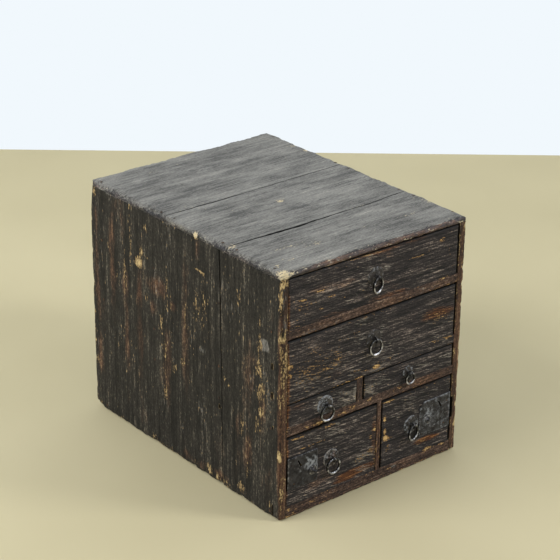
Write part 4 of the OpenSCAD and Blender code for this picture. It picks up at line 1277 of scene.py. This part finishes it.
def boss(name, body, outer, out, top, stud_out, seed):
    """A boss with its stud on a lock plate, at a set distance from the plate's outer upper corner."""
    x, z = outer + out * BOSS_IN, top - BOSS_DOWN
    bm = turned([(0.05, 0), (0.05, stud_out), (1.1, stud_out), (1.7, stud_out - 0.7), (1.6, 3.2), (2.6, 2.6),
                 (4.4, 2.3), (5.1, 1.9), (5.7, 2.1), (6.3, 1.8), (6.5, 1.2), (6.5, 0)], 40)
    points = read_points(bm)
    out_r = np.hypot(points[:, X], points[:, Z])
    dent = wander(points, 4, seed)
    points[:, Y] += 0.18 * dent * (out_r > 2.2) * (points[:, Y] < -0.4)
    points[:, (X, Z)] *= (1 + 0.05 * dent)[:, None]
    points[:, Z] += 0.9 * clamp((-points[:, Y] - 2.6) / 6) ** 2
    ring = np.exp(-((out_r - 5.9) / 0.8) ** 2)
    # The extra 0.3 on the right boss is a painted glare, like the one round it on the plate.
    dusty = 0.25 * ring + (0.3 if out < 0 else 0.0) * (out_r > 2)
    layers = [0.2 + 0.3 * ring + 0.3 * dent, 0.15 + 0.2 * dent, dusty, 0.0]
    points += (x, 0, z)
    return finish_piece(name, body, [], [forged], bm, points, layers)


def nail_heads(name, body, nodes, material, heads, seed):
    """One piece of many nail heads: each is a place, the way it faces, its width and its height."""
    bm, rng = bmesh.new(), np.random.default_rng(round(seed))
    for place, facing, wide, high in heads:
        upright = Vector((0, 0, 1)).rotation_difference(Vector(facing)).to_matrix().to_4x4()
        head = bmesh.ops.create_cube(bm, size=1.0, matrix=Matrix.Translation(place) @ upright
                                     @ Matrix.Rotation(rng.uniform(-0.3, 0.3), 4, "Z")
                                     @ Matrix.Diagonal((wide, wide * rng.uniform(0.65, 0.9), high * 2, 1)))
        bmesh.ops.bevel(bm, geom=list({e for v in head["verts"] for e in v.link_edges}),
                        offset=min(0.45 * high, 0.5), segments=2, profile=0.5, affect="EDGES", material=-1)
    points = read_points(bm)
    rough = wander(points, 1.8, seed)
    layers = [0.1 + 0.3 * rough, 0.55 + 0.3 * rough, 0.0, 0.35 + 0.3 * wander(points, 30, seed + 4)]
    return finish_piece(name, body, nodes, [material], bm, points, layers)


for name, body, node, out, stud_out, seed in (
        ("left_lock", "lower_left_drawer", "left_lock_plate", 1, 8.5, 140.0),
        ("right_lock", "lower_right_drawer", "right_lock_plate", -1, 4.2, 150.0)):
    lo, hi = box_mm(node)
    outer, inner = (lo[0], hi[0]) if out > 0 else (hi[0], lo[0])
    boss(name + "_boss", body, outer, out, hi[2], stud_out, seed)
    corners = [((outer + out * 6, PLATE_FACE, hi[2] - 10.5), (0, -1, 0), 2.0, 0.4),
               ((outer + out * 10.3, PLATE_FACE, lo[2] + 7.6), (0, -1, 0), 2.4, 0.5),
               ((inner - out * 4, PLATE_FACE, lo[2] + 4), (0, -1, 0), 2.2, 0.5)]
    nail_heads(name + "_nails", body, [], nail_iron, corners, seed + 5)
print("bosses and lock nails are on")

# %% [markdown]
# The case is held by hand-cut square nails. On the sides they enter the ends of the shelves, on top the
# upper edges of the sides, and at the back the ends of the rails. Their heads have sunk and rusted, so most
# read as small dark marks. Their rows follow the model's boards.

# %% Case nails
LEVELS = ("bottom_board", "lower_shelf", "middle_shelf", "upper_shelf")
NAIL_LIFT = 3  # the nails enter the shelves a little above their middle
mid_z = {n: (box_mm(n)[0][2] + box_mm(n)[1][2]) / 2 for n in LEVELS}
side_z = [mid_z[n] + (NAIL_LIFT if "shelf" in n else 0) for n in LEVELS]
side_y = [18, LEFT_JOINT + 4, (LEFT_JOINT + CASE_D) / 2, CASE_D - 26]
heads = [((x, y, z), (way, 0, 0), 3.6, 0.35)
         for x, way in ((0.1, -1), (CASE_W - 0.1, 1)) for y in side_y for z in side_z]
top_y = [20, TOP_JOINT_1 - 14, TOP_JOINT_1 + 14, TOP_JOINT_2 - 14, TOP_JOINT_2 + 14, CASE_D - 20]
heads += [((x, y, CASE_H - 0.2), (0, 0, 1), 3.4, 0.3) for x in (6.05, CASE_W - 6.05) for y in top_y]
back_face = box_mm("back_board")[1][1]
heads += [((x, back_face - 0.1, z), (0, 1, 0), 3.8, 0.4)
          for x in (left_face + 30, CASE_W / 2, right_face - 30) for z in mid_z.values()]
nail_heads("case_nail_heads", "case", ["case_nails"], nail_iron, heads, 160.0)
print("case nails:", len(heads))

# %% [markdown]
# The lock bolts keep their exact shape from the model and only get a finish.

# %% Bolts and their finish
for name in ("left_lock_bolt", "right_lock_bolt"):
    bolt = frame["nodes"][name]
    bolt.data.materials.clear()
    bolt.data.materials.append(forged)
